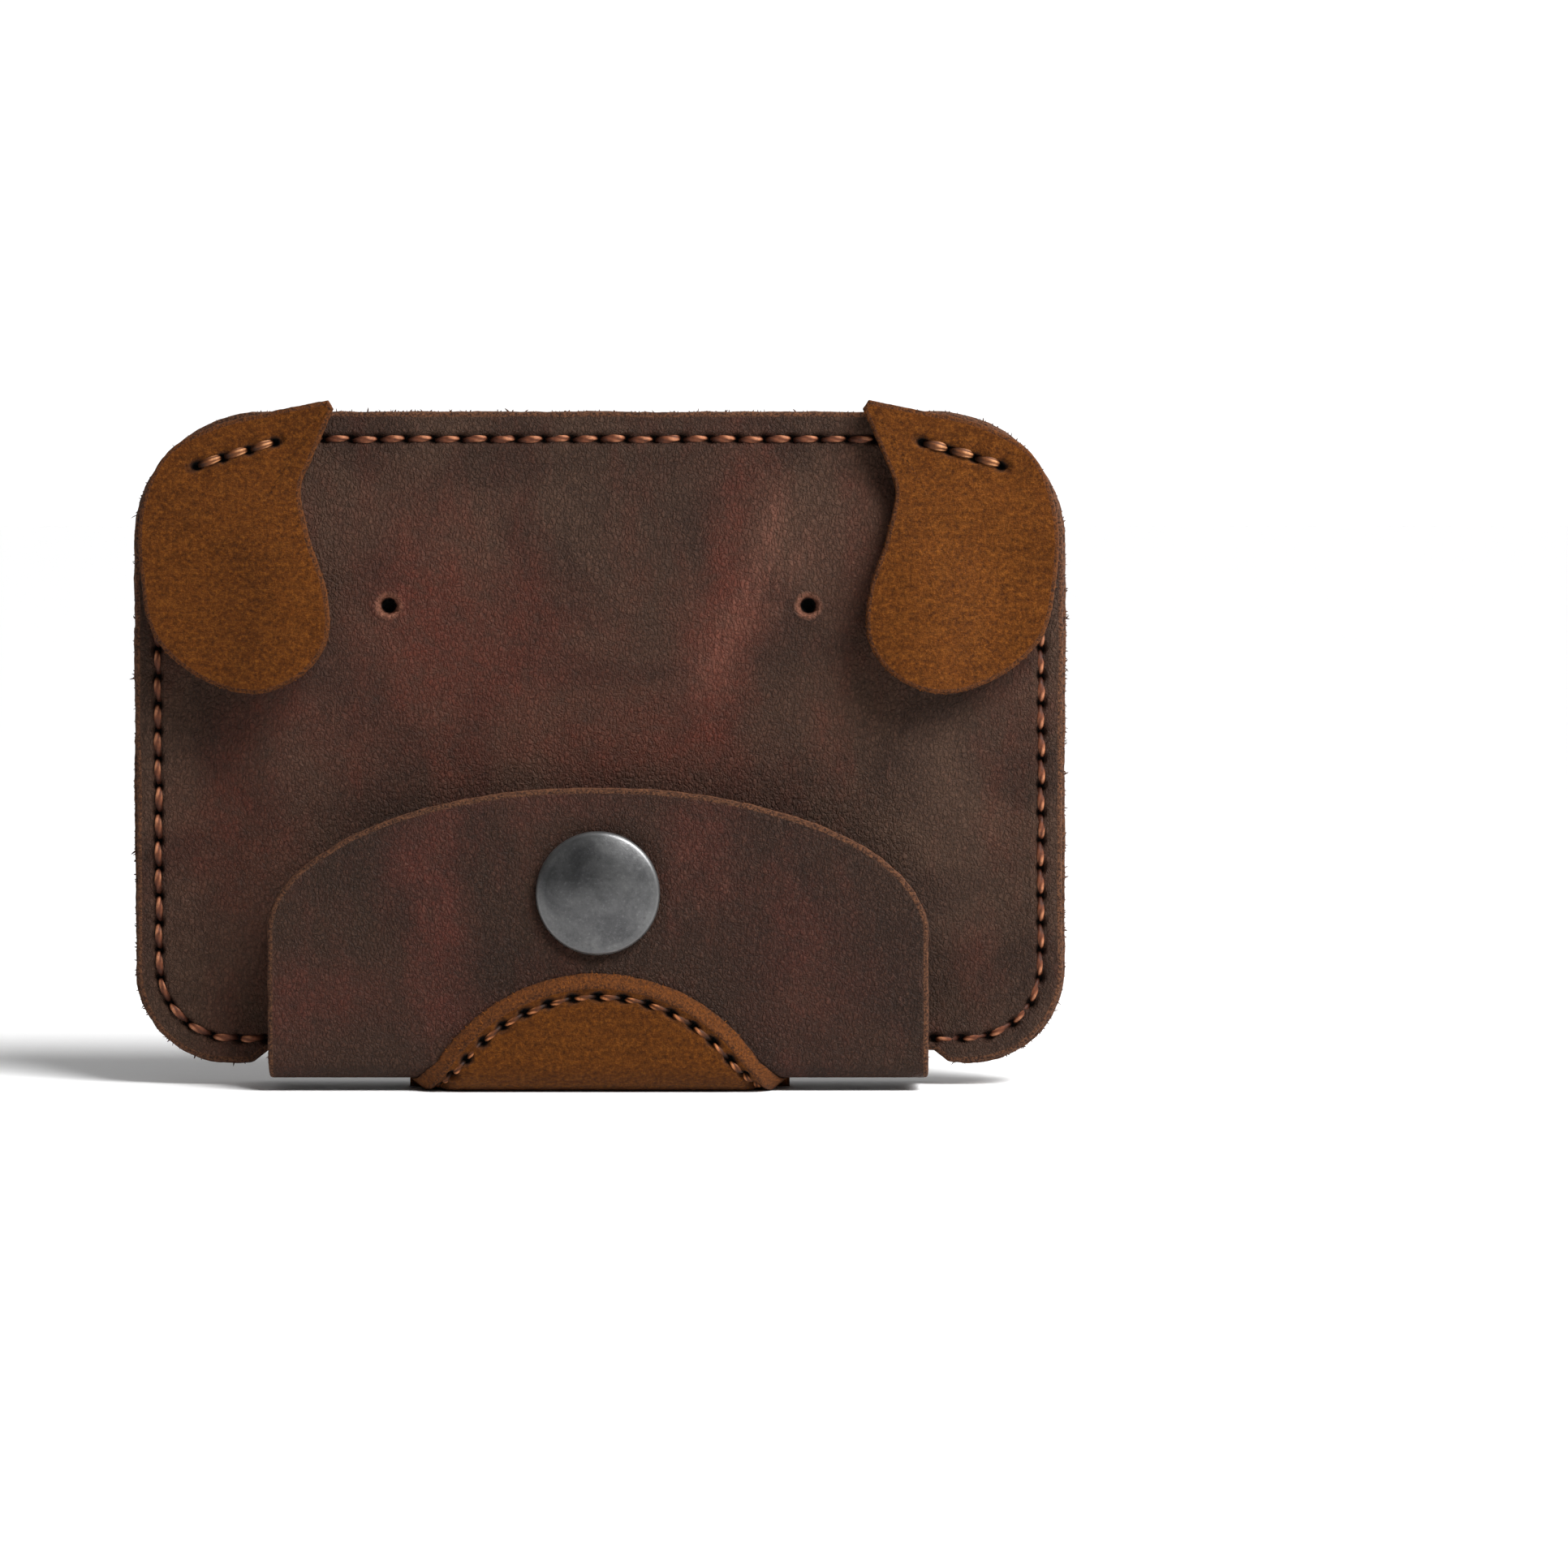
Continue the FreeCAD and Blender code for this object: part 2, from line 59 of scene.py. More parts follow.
FLAT = FLAP_Y - FOLD_R          # half the flat under the pouch
ARC = FOLD_R * math.pi / 2
EYE_X, EYE_Z = 24.2, 55.9
SEAM_IN, SEAM_UP = 2.9, 3.1     # the seam's distance from the body's sides, and from its top and bottom
# The sheets are this much thinner than the CAD's leather, so that none touches the leather below it.
HIDE_SHEET, TAN_SHEET, EAR_SHEET = HIDE - 0.06, TAN - 0.03, EAR - 0.03
PANEL_GAP = 0.03
FAR = 9.0                       # distance across a seam that counts as nowhere near it
CHUNK = 4000                    # points looked up at a time, which keeps the arrays small


# ---- noise
def hashed(ix, iy, iz, seed):
    h = (ix * 374761393 + iy * 668265263 + iz * 2147483647 + seed * 1274126177) & 0xFFFFFFFF
    h = ((h ^ (h >> 13)) * 1274126177) & 0xFFFFFFFF
    return ((h ^ (h >> 16)) & 0xFFFF) / 65535.0


def noise(p, seed):
    """Smooth value noise from -1 to 1 at points p, one cell per unit."""
    p = np.asarray(p, float)
    if p.shape[1] == 2:
        p = np.column_stack([p, np.zeros(len(p))])
    base = np.floor(p).astype(np.int64)
    f = p - base
    f = f * f * (3 - 2 * f)
    total = np.zeros(len(p))
    for dx, dy, dz in itertools.product((0, 1), repeat=3):
        weight = np.abs(1 - dx - f[:, 0]) * np.abs(1 - dy - f[:, 1]) * np.abs(1 - dz - f[:, 2])
        total += weight * hashed(base[:, 0] + dx, base[:, 1] + dy, base[:, 2] + dz, seed)
    return total * 2 - 1


def fbm(p, seed, octaves=3):
    p = np.asarray(p, float)
    return sum(noise(p * 2 ** o, seed + o) * 0.5 ** o for o in range(octaves))


def ramp(x):
    x = np.clip(x, 0, 1)
    return x * x * (3 - 2 * x)


def unit(vectors):
    return vectors / np.maximum(np.linalg.norm(vectors, axis=-1, keepdims=True), 1e-9)


def lengths_along(path):
    """Distance along an open path at each of its points."""
    return np.concatenate([[0], np.cumsum(np.linalg.norm(np.diff(path, axis=0), axis=1))])


def at_length(path, lengths, s):
    return np.column_stack([np.interp(s, lengths, path[:, k]) for k in (0, 1)])


# ---- meshes
def add_mesh(name, verts, faces, materials, face_material=None, attributes=None):
    mesh = bpy.data.meshes.new(name)
    faces = faces.tolist() if hasattr(faces, "tolist") else faces
    mesh.from_pydata((np.asarray(verts) * MM).tolist(), [], faces)
    for material in materials:
        mesh.materials.append(material)
    if face_material is not None:
        mesh.polygons.foreach_set("material_index", np.asarray(face_material, np.int32))
    mesh.polygons.foreach_set("use_smooth", np.ones(len(mesh.polygons), bool))
    for key, values in (attributes or {}).items():
        values = np.asarray(values, np.float32)
        kind = "FLOAT_VECTOR" if values.ndim == 2 else "FLOAT"
        layer = mesh.attributes.new(key, kind, "POINT")
        layer.data.foreach_set("vector" if values.ndim == 2 else "value", values.ravel())
    mesh.update()
    obj = bpy.data.objects.new(name, mesh)
    bpy.context.scene.collection.objects.link(obj)
    return obj


def arc(cx, cz, r, a0, a1, n=40):
    t = np.radians(np.linspace(a0, a1, n))
    return np.column_stack([cx + r * np.cos(t), cz + r * np.sin(t)])


def quarter_outline(poly, corners, n):
    """Closed outline as 4 n points, counter-clockwise, with the grid's corners nearest the given points."""
    picks = [int(np.argmin(np.sum((poly - np.array(c)) ** 2, axis=1))) for c in corners]
    parts = []
    for q in range(4):
        a, b = picks[q], picks[(q + 1) % 4]
        run = np.vstack([poly[a:], poly[:b + 1]]) if b <= a else poly[a:b + 1]
        lengths = lengths_along(run)
        parts.append(at_length(run, lengths, np.linspace(0, lengths[-1], n + 1)[:-1]))
    return np.vstack(parts)


def outline_normals(outline):
    tangent = np.roll(outline, -1, axis=0) - np.roll(outline, 1, axis=0)
    return unit(np.column_stack([tangent[:, 1], -tangent[:, 0]]))


def sheet(name, outline, centre, thickness, place, relief, rim, materials, levels, joint=(), extra=None,
          flip=False):
    """A leather sheet. outline has 8 K points in the sheet's own (a, b) plane, counter-clockwise from its
    lower right corner, and each face is a square grid warped to it. place(a, b, depth) gives the point in
    space and relief(a, b) the height of the outer face, the inner one being even. rim lists (in from the
    outline, depth as a share of the thickness) round the cut edge, its first and last points being on the
    faces. Where b is one of the joint heights, the outline is a butt joint with no rounded rim."""
    k = len(outline) // 8
    on_joint = at_joint(outline[:, 1], joint) < 1e-6 if joint else np.zeros(len(outline), bool)
    normals = outline_normals(outline)
    keep = np.where(on_joint, 0.0, 1.0)[:, None]
    n = 2 * k + 1
    u, v = np.meshgrid(np.arange(n) - k, np.arange(n) - k, indexing="ij")
    r = np.maximum(np.abs(u), np.abs(v))
    t = np.where((u == r) & (v < r), v + r,
                 np.where((v == r) & (u > -r), 3 * r - u,
                          np.where((u == -r) & (v > -r), 5 * r - v, 7 * r + u)))
    index = t / np.maximum(r, 1) * k
    low = np.floor(index).astype(int) % (8 * k)
    share = (index - np.floor(index))[..., None]

    def face_grid(inset):
        inner = outline - normals * inset * keep
        on_rim = inner[low] * (1 - share) + inner[(low + 1) % (8 * k)] * share
        return (np.array(centre) + levels[r][..., None] * (on_rim - np.array(centre))).reshape(-1, 2)

    outer, inner = face_grid(rim[0][0]), face_grid(rim[-1][0])
    ids = np.arange(n * n).reshape(n, n)
    quads = np.stack([ids[:-1, :-1], ids[1:, :-1], ids[1:, 1:], ids[:-1, 1:]], axis=-1).reshape(-1, 4)
    ring = np.empty(8 * k, int)
    edge = r == k
    ring[t[edge] % (8 * k)] = ids[edge]

    top = -relief(outer[:, 0], outer[:, 1])
    under = np.full(len(inner), thickness)
    flat, depths = [outer, inner], [top, under]
    faces, kinds = [quads, quads[:, ::-1] + n * n], [np.zeros(len(quads)), np.full(len(quads), 2)]
    count = 2 * n * n
    loops = [ring]
    for inset, deep in rim[1:-1]:
        at = np.column_stack([outline, np.full(8 * k, deep * 2.5)])
        rough = 0.05 * noise(at * [2.2, 2.2, 2], 11) + 0.05 * noise(at * [0.8, 0.8, 1], 17)
        flat.append(outline - normals * (inset + rough)[:, None] * keep)
        depths.append(top[ring] * (1 - deep) + under[ring] * deep)
        loops.append(np.arange(count, count + 8 * k))
        count += 8 * k
    loops.append(ring + n * n)
    all_flat, all_depth = np.vstack(flat), np.concatenate(depths)
    following = (np.arange(8 * k) + 1) % (8 * k)
    cut = on_joint & on_joint[following]
    flagged = np.where(on_joint)[0]
    copies = []
    for loop in loops:
        copy = loop.copy()
        copy[flagged] = count + np.arange(len(flagged))
        count += len(flagged)
        all_flat = np.vstack([all_flat, all_flat[loop[flagged]]])
        all_depth = np.concatenate([all_depth, all_depth[loop[flagged]]])
        copies.append(copy)
    for one, two, copy_one, copy_two in zip(loops[:-1], loops[1:], copies[:-1], copies[1:]):
        band = np.stack([one, two, two[following], one[following]], axis=-1)
        butt = np.stack([copy_one, copy_two, copy_two[following], copy_one[following]], axis=-1)
        faces.append(np.where(cut[:, None], butt, band))
        kinds.append(np.ones(8 * k))
    faces = np.vstack(faces)
    used, faces = np.unique(faces, return_inverse=True)
    faces = faces.reshape(-1, 4)
    if flip:
        faces = faces[:, ::-1]
    all_flat, all_depth = all_flat[used], all_depth[used]
    attributes = {"sheet": np.column_stack([all_flat, all_depth]), "deep": all_depth / thickness,
                  "from_edge": edge_distance(all_flat, outline[~on_joint])}
    for key, fn in (extra or {}).items():
        attributes[key] = fn(all_flat[:, 0], all_flat[:, 1])
    return add_mesh(name, place(all_flat[:, 0], all_flat[:, 1], all_depth), faces, materials,
                    np.concatenate(kinds), attributes)


def edge_distance(points, outline):
    out = np.empty(len(points))
    for start in range(0, len(points), CHUNK):
        part = points[start:start + CHUNK]
        gap = part[:, None, :] - outline[None, ::2, :]
        out[start:start + CHUNK] = np.sqrt(np.min(np.sum(gap * gap, axis=2), axis=1))
    return out


# ---- stitch lines
def seam_path():
    """The seam round the pouch: left bottom, up, over the top and down on the right."""
    w, low, high = HALF_W - SEAM_IN, BOTTOM + SEAM_UP, TOP - SEAM_UP
    r1, r2 = 8.3, 12.3
    half = np.vstack([[[-38.8, low]], arc(-(w - r1), low + r1, r1, 270, 180),
                      arc(-(w - r2), high - r2, r2, 180, 90), [[0, high]]])
    return np.vstack([half, (half * [-1, 1])[::-1][1:]])


SEAM_PATH = seam_path()
SEAM_STEPS = lengths_along(SEAM_PATH)
SEAM_LENGTH = SEAM_STEPS[-1]
SEAM = at_length(SEAM_PATH, SEAM_STEPS, np.linspace(0, SEAM_LENGTH, 900))
SEAM_COUNT = round(SEAM_LENGTH / 3.2)
SEAM_PITCH = SEAM_LENGTH / SEAM_COUNT
EAR_LINE = np.array([[-46.4, 72.0], [-37.4, 74.7]])     # from the first of the ear's holes to the last
EAR_PITCH = float(np.linalg.norm(EAR_LINE[1] - EAR_LINE[0])) / 3
RING_PITCH = 2 * math.pi * RING_R / RING_N


def along_seam(a, b):
    """(distance along the seam, distance across it) for sheet points, FAR across where it is not near."""
    points = np.column_stack([a, b])
    s, d = np.zeros(len(points)), np.full(len(points), FAR)
    near = np.where((np.abs(a) > 46) | (b > 70) | ((b < 11) & (np.abs(a) > 36)))[0]
    for start in range(0, len(near), CHUNK):
        rows = near[start:start + CHUNK]
        part = points[rows]
        gap = part[:, None, :] - SEAM[None, :, :]
        squared = np.sum(gap * gap, axis=2)
        nearest = np.argmin(squared, axis=1)
        ahead = unit(SEAM[np.minimum(nearest + 1, len(SEAM) - 1)] - SEAM[np.maximum(nearest - 1, 0)])
        off = part - SEAM[nearest]
        s[rows] = nearest * SEAM_LENGTH / (len(SEAM) - 1) + np.sum(off * ahead, axis=1)
        across = off[:, 0] * -ahead[:, 1] + off[:, 1] * ahead[:, 0]
        d[rows] = np.where(np.min(squared, axis=1) < 9, across, FAR)
    return s, d


def seam_attribute(a, b):
    s, d = along_seam(a, b)
    return np.column_stack([s / SEAM_PITCH, d, np.zeros(len(s))])


def groove(along, across, pitch_mm, deep=0.18, hole=0.85):
    """Relief of a stitch line: a shallow trough with a pit at each hole and a swell between them."""
    phase = (along - np.round(along)) * pitch_mm
    pit = ramp((0.80 - np.hypot(phase * 0.8, across)) / 0.5)
    swell = np.exp(-((np.abs(across) - 1.0) / 0.45) ** 2) * (1 - np.cos(2 * np.pi * along)) * 0.05
    return -deep * np.exp(-(across / 0.7) ** 2) - hole * pit + swell


# ---- the pouch's surfaces
def swell(x, z, side_fade, low_fade, mouth_end, mouth_fade):
    """How far a panel swells. It fades to the sides, the top and the corners by the mouth."""
    side = ramp((47.9 - np.abs(x)) / side_fade)
    top = ramp((72.3 - z) / 13)
    mouth = np.maximum(ramp((z - 7.5) / low_fade), ramp((mouth_end - np.abs(x)) / mouth_fade))
    return SWELL * side * top * mouth


def swell_front(x, z):
    return swell(x, z, 13, 12, 38.6, 8.6)


def swell_back(x, z):
    return swell(x, z, 9.5, 10, 43.0, 4.8)


def undulate(x, z, seed):
    p = np.column_stack([x, z])
    return 0.16 * fbm(p / 26, seed) + 0.035 * fbm(p / 5, seed + 5)


def place_front(a, b, depth):
    y = MID_Y - HIDE - PANEL_GAP - swell_front(a, b) + depth
    return np.column_stack([a, y, b])


def fold_point(a, b, depth):
    """The flap's path round the bottom. b runs along its outer face from the middle of the bottom, and it
    is positive in front."""
    side = np.where(b >= 0, 1.0, -1.0)
    run = np.abs(b)
    turn = np.clip((run - FLAT) / FOLD_R, 0, math.pi / 2)
    up = np.maximum(run - FLAT - ARC, 0)
    y = np.minimum(run, FLAT) + FOLD_R * np.sin(turn)
    z = (HALF_BUNDLE - FLAP_Y) + FOLD_R * (1 - np.cos(turn)) + up
    y -= depth * np.sin(turn)
    z = z + depth * np.cos(turn)
    return np.column_stack([a, -side * y, z])


def z_to_run(z):
    """Sheet coordinate of the fold at height z on an upright face."""
    return z - (HALF_BUNDLE - FLAP_Y) - FOLD_R + FLAT + ARC


def place_back(a, b, depth):
    """b is the height, and below the turn it carries on round the fold: the back panel and its tongue."""
    upright = np.column_stack([a, MID_Y + HIDE + PANEL_GAP + swell_back(a, b) - depth, b])
    folded = fold_point(a, -z_to_run(b), depth)
    low = (b < 5.0)[:, None] & (np.abs(a) < 38.2)[:, None]
    return np.where(low, folded, upright)


def disc_to_run(w):
    """The patch's flat disc coordinate to the fold's: its outer face goes round a wider turn."""
    size = np.abs(w)
    turn_end = HALF_BUNDLE + (HALF_BUNDLE - FLAP_Y) + FOLD_R
    run = np.interp(size, [0, FLAT, turn_end, turn_end + 40], [0, FLAT, FLAT + ARC, FLAT + ARC + 40])
    return np.sign(w) * run


def place_patch(a, w, depth):
    return fold_point(a, disc_to_run(w), depth - TAN)


# ---- node materials
class Nodes:
    """Short calls for building a node tree."""

    def __init__(self, tree):
        self.tree = tree

    def to(self, value, socket):
        if isinstance(value, bpy.types.NodeSocket):
            self.tree.links.new(value, socket)
        else:
            socket.default_value = value

    def add(self, kind, out=0, props=None, **inputs):
        node = self.tree.nodes.new("ShaderNode" + kind)
        for key, value in (props or {}).items():
            setattr(node, key, value)
        for key, value in inputs.items():
            key = int(key[1:]) if key[0] == "i" and key[1:].isdigit() else key
            self.to(value, node.inputs[key])
        return node.outputs[out]

    def attribute(self, name, out="Vector"):
        return self.add("Attribute", out, {"attribute_name": name})

    def math(self, op, a, b=0.0, clamp=False):
        return self.add("Math", 0, {"operation": op, "use_clamp": clamp}, i0=a, i1=b)

    def plus(self, a, b, clamp=False):
        return self.math("ADD", a, b, clamp)

    def times(self, a, b):
        return self.math("MULTIPLY", a, b)

    def mapped(self, vector, scale=(1, 1, 1), turn=0.0):
        return self.add("Mapping", 0, None, Vector=vector, Scale=scale, Rotation=(0, 0, turn))

    def noise(self, vector, scale, detail=3.0, rough=0.55, out=0, distort=0.0):
        return self.add("TexNoise", out, None, Vector=vector, Scale=scale, Detail=detail, Roughness=rough,
                        Distortion=distort)

    def range(self, value, low, high, to_low=0.0, to_high=1.0):
        return self.add("MapRange", 0, None, i0=value, i1=low, i2=high, i3=to_low, i4=to_high)

    def mix(self, factor, a, b, mode="MIX"):
        node = self.tree.nodes.new("ShaderNodeMix")
        node.data_type, node.blend_type = "RGBA", mode
        self.to(factor, node.inputs[0])
        for value, socket in ((a, node.inputs[6]), (b, node.inputs[7])):
            self.to(value if isinstance(value, bpy.types.NodeSocket) else (*value, 1.0), socket)
        return node.outputs[2]

    def layers(self, colour, *rows):
        """Tones laid over colour, in rows of (value, where it starts, where it is full, how much, tone)."""
        for value, start, full, amount, tone in rows:
            colour = self.mix(self.range(value, start, full, 0.0, amount), colour, tone)
        return colour

    def bump(self, height, strength, distance, normal=None):
        inputs = {"Height": height, "Strength": strength, "Distance": distance}
        if normal is not None:
            inputs["Normal"] = normal
        return self.add("Bump", 0, None, **inputs)


class Surface(Nodes):
    """The node tree of one new material."""

    def __init__(self, name, roughness=0.6, **sockets):
        self.material = bpy.data.materials.new(name)
        self.material.use_nodes = True
        super().__init__(self.material.node_tree)
        self.shader = self.tree.nodes["Principled BSDF"]
        self.set(Roughness=roughness, **sockets)

    def set(self, **sockets):
        for key, value in sockets.items():
            self.to(value, self.shader.inputs[key.replace("_", " ")])


def srgb(r, g, b):
    return tuple(((c / 255 + 0.055) / 1.055) ** 2.4 if c > 10.3 else c / 255 / 12.92 for c in (r, g, b))


def scaled(tone, by):
    return tuple(c * by for c in tone)


def hole_shade_mask(m, attribute, pitch, radius):
    """1 where painted shade darkens each stitch hole, from the (count along, millimetres across) attribute.
    """
    node = m.add("SeparateXYZ", 0, None, Vector=m.attribute(attribute)).node
    across = node.outputs[1]
    phase = m.math("SUBTRACT", m.math("FRACT", m.plus(node.outputs[0], 0.5)), 0.5)
    along = m.times(phase, pitch * 0.8)
    away = m.math("SQRT", m.plus(m.times(along, along), m.times(across, across)))
    return m.range(away, radius * 1.35, radius * 0.8), across


def dark_leather(name, dark, brown, red, seam=None, pitch=3.2, eye=False):
    """Waxed pull-up leather: cloudy dark and reddish patches, fine pebbled grain, creases, stitch holes,
    with painted shade in the holes, along the seam groove and inside the eyes.
    """
    m = Surface(name, Specular_IOR_Level=0.14)
    at = m.attribute("sheet")
    cloud = m.noise(at, 0.05, 4, 0.6, distort=0.8)
    drift = m.noise(m.mapped(at, (1, 0.4, 1), 0.6), 0.11, 5, 0.7)
    mottle = m.noise(at, 0.45, 5, 0.75)
    grain = m.noise(at, 2.4, 4, 0.8)
    bent = m.add("TexNoise", 1, None, Vector=at, Scale=0.9, Detail=3.0, Roughness=0.7)
    warped = m.add("VectorMath", 0, {"operation": "ADD"}, i0=at, i1=bent)
    tiny = m.noise(at, 6.0, 2, 0.7)
    colour = m.layers(dark, (cloud, 0.40, 0.60, 1.0, brown))
    blush = m.plus(m.range(drift, 0.50, 0.70, 0.0, 0.40), m.attribute("red", "Fac"), clamp=True)
    blush = m.times(blush, m.range(mottle, 0.30, 0.62, 0.45, 1.0))
    colour = m.mix(blush, colour, red)
    creases = m.noise(m.mapped(at, (1.0, 0.22, 1), -0.5), 1.7, 5, 0.75, distort=0.5)
    colour = m.layers(colour, (mottle, 0.52, 0.30, 0.45, scaled(dark, 0.55)),
                      (creases, 0.56, 0.74, 0.20, srgb(122, 82, 68)),
                      (grain, 0.54, 0.76, 0.34, srgb(118, 84, 68)),
                      (grain, 0.48, 0.28, 0.60, scaled(dark, 0.30)),
                      (tiny, 0.60, 0.78, 0.30, srgb(140, 104, 86)))
    edge = m.range(m.attribute("from_edge", "Fac"), 0.8, 0.1)
    colour = m.mix(m.times(edge, 0.25), colour, srgb(104, 74, 54))
    mark = m.times(m.attribute("streak", "Fac"), m.range(creases, 0.38, 0.62, 0.10, 1.0))
    colour = m.mix(m.times(mark, 0.34), colour, srgb(142, 88, 72))
    rough = m.range(mottle, 0.3, 0.7, 0.46, 0.64)
    pores = m.add("TexVoronoi", 0, {"feature": "F1"}, Vector=m.mapped(at, (1.0, 0.75, 1)), Scale=2.6,
                  Randomness=1.0)
    crack = m.add("TexVoronoi", 0, {"feature": "DISTANCE_TO_EDGE"}, Vector=m.mapped(warped, (1.0, 0.55, 1)),
                  Scale=2.3, Randomness=1.0)
    crack = m.range(crack, 0.02, 0.20)
    shown = m.times(m.math("SUBTRACT", 1.0, crack), m.range(mottle, 0.35, 0.6, 0.10, 0.42))
    colour = m.mix(shown, colour, scaled(dark, 0.35))
    height = m.plus(m.times(pores, 0.45), grain)
    height = m.plus(m.plus(height, m.times(creases, 0.8)), m.times(crack, 0.6))
    if seam:
        hole, across = hole_shade_mask(m, seam, pitch, 0.40)
        # Painted shade: the leather is darkened along the seam groove and painted near black in each stitch
        # hole.
        near = m.range(m.math("ABSOLUTE", across), 0.80, 0.35, 0.0, 0.35)
        colour = m.mix(near, colour, srgb(44, 24, 17))
        colour = m.mix(hole, colour, srgb(16, 8, 6))
    if eye:
        away = m.attribute("eye", "Fac")
        # A paler rim round each eye: the torn leather's own colour, and partly a painted highlight where the
        # raised rim catches the light.
        torn = m.times(m.range(away, 1.75, 1.25), m.range(grain, 0.36, 0.58, 0.25, 0.95))
        colour = m.mix(torn, colour, srgb(128, 84, 66))
        # Painted shade: the punched eye is painted near black inside its pit.
        colour = m.mix(m.range(away, 1.00, 0.82), colour, (0.001, 0.001, 0.001))
        m.set(Specular_IOR_Level=0.12)
    m.set(Base_Color=colour, Roughness=rough,
          Normal=m.bump(height, 0.8, 0.00026, m.bump(mottle, 0.4, 0.0006)))
    return m.material


def cut_edge(name, skin, core, fuzz):
    """The cut edge of a hide: dyed skins with a paler fibrous core between them."""
    m = Surface(name, roughness=0.85, Specular_IOR_Level=0.2)
    at = m.attribute("sheet")
    deep = m.attribute("deep", "Fac")
    fibre = m.noise(m.mapped(at, (1, 1, 0.5)), 3.2, 4, 0.75)
    middle = m.times(m.range(deep, 0.04, 0.30), m.range(deep, 0.96, 0.70))
    colour = m.mix(middle, skin, core)
    colour = m.layers(colour, (fibre, 0.42, 0.66, 0.85, fuzz), (fibre, 0.45, 0.25, 0.7, scaled(skin, 0.3)))
    m.set(Base_Color=colour, Normal=m.bump(fibre, 0.8, 0.0006))
    return m.material


def flesh_side(name, light, dark):
    """The suede inside of the hide."""
    m = Surface(name, roughness=0.92, Specular_IOR_Level=0.12, Sheen_Weight=0.12)
    at = m.attribute("sheet")
    nap = m.noise(at, 2.2, 5, 0.8)
    cloud = m.noise(at, 0.10, 3, 0.6)
    colour = m.layers(dark, (cloud, 0.3, 0.7, 1.0, light), (nap, 0.35, 0.7, 0.6, scaled(dark, 0.5)))
    m.set(Base_Color=colour, Normal=m.bump(nap, 0.6, 0.0005))
    return m.material


def nubuck(name, tones, seam=None, pitch=3.2):
    """Tan nubuck: short speckled nap, cloudy tone, darker rubbed patches, a painted highlight along the
    edge, and painted shade along the seam and in its holes.
    """
    deep_tone, mid_tone, pale_tone = tones
    m = Surface(name, roughness=0.86, Specular_IOR_Level=0.06, Sheen_Weight=0.03, Sheen_Roughness=0.5)
    at = m.attribute("sheet")
    cloud = m.noise(at, 0.14, 5, 0.65, distort=0.6)
    nap = m.noise(at, 1.9, 5, 0.8)
    fine = m.noise(m.mapped(at, (1, 1.5, 1), 0.3), 4.5, 3, 0.75)
    streak = m.noise(m.mapped(at, (0.6, 1.4, 1), 0.35), 0.7, 5, 0.75)
    colour = m.layers(deep_tone, (cloud, 0.38, 0.62, 1.0, mid_tone),
                      (streak, 0.46, 0.64, 0.7, pale_tone),
                      (nap, 0.52, 0.34, 0.90, scaled(deep_tone, 0.36)),
                      (nap, 0.52, 0.68, 0.70, scaled(pale_tone, 1.60)),
                      (fine, 0.57, 0.76, 0.40, scaled(pale_tone, 2.0)),
                      (fine, 0.46, 0.26, 0.45, scaled(deep_tone, 0.40)))
    # Painted highlight: a paler band along the edge stands in for the lit cut edge.
    edge = m.range(m.attribute("from_edge", "Fac"), 0.75, 0.2)
    colour = m.mix(m.times(edge, 0.22), colour, srgb(120, 66, 24))
    if seam:
        hole, across = hole_shade_mask(m, seam, pitch, 0.50)
        # Painted shade: darker along the seam groove and near black in each stitch hole.
        near = m.range(m.math("ABSOLUTE", across), 0.85, 0.35, 0.0, 0.35)
        colour = m.mix(near, colour, srgb(46, 24, 10))
        colour = m.mix(hole, colour, srgb(6, 4, 3))
    height = m.plus(nap, m.times(fine, 0.7))
    m.set(Base_Color=colour, Roughness=m.range(nap, 0.3, 0.7, 0.78, 0.93),
          Normal=m.bump(height, 0.8, 0.00045))
    return m.material


def thread_material(name, dark, mid, pale):
    """Waxed thread, with painted shade and painted highlights. lift is 1 on top of a stitch and lower
    underneath and where the thread dives into a hole, and the colour is darker there as painted shade; the
    strand attribute is 1 on the crown of a strand near one end, where a painted highlight goes.
    """
    m = Surface(name, Specular_IOR_Level=0.20)
    crown = m.attribute("ply_highlight", "Fac")
    lift = m.attribute("lift", "Fac")
    fine = m.noise(m.add("TexCoord", 3), 2600.0, 3, 0.7)
    # Painted shade: dark under the thread and where it dives into the holes, mid on top.
    colour = m.layers(dark, (lift, 0.20, 0.80, 1.0, mid))
    # Painted highlight: pale on the strand crowns near one end of each stitch.
    bright = m.times(m.range(crown, 0.35, 0.95), m.range(lift, 0.25, 0.85))
    colour = m.mix(m.times(bright, 0.85), colour, pale)
    colour = m.layers(colour, (fine, 0.55, 0.35, 0.45, scaled(dark, 0.4)))
    m.set(Base_Color=colour, Roughness=m.range(fine, 0.3, 0.7, 0.5, 0.7),
          Normal=m.bump(fine, 0.4, 0.0001))
    return m.material


def fibre_material(name, dark, pale):
    m = Surface(name, roughness=0.85, Specular_IOR_Level=0.12)
    tone = m.noise(m.add("TexCoord", 3), 900.0, 3, 0.7)
    m.set(Base_Color=m.layers(dark, (tone, 0.35, 0.65, 1.0, pale)))
    return m.material


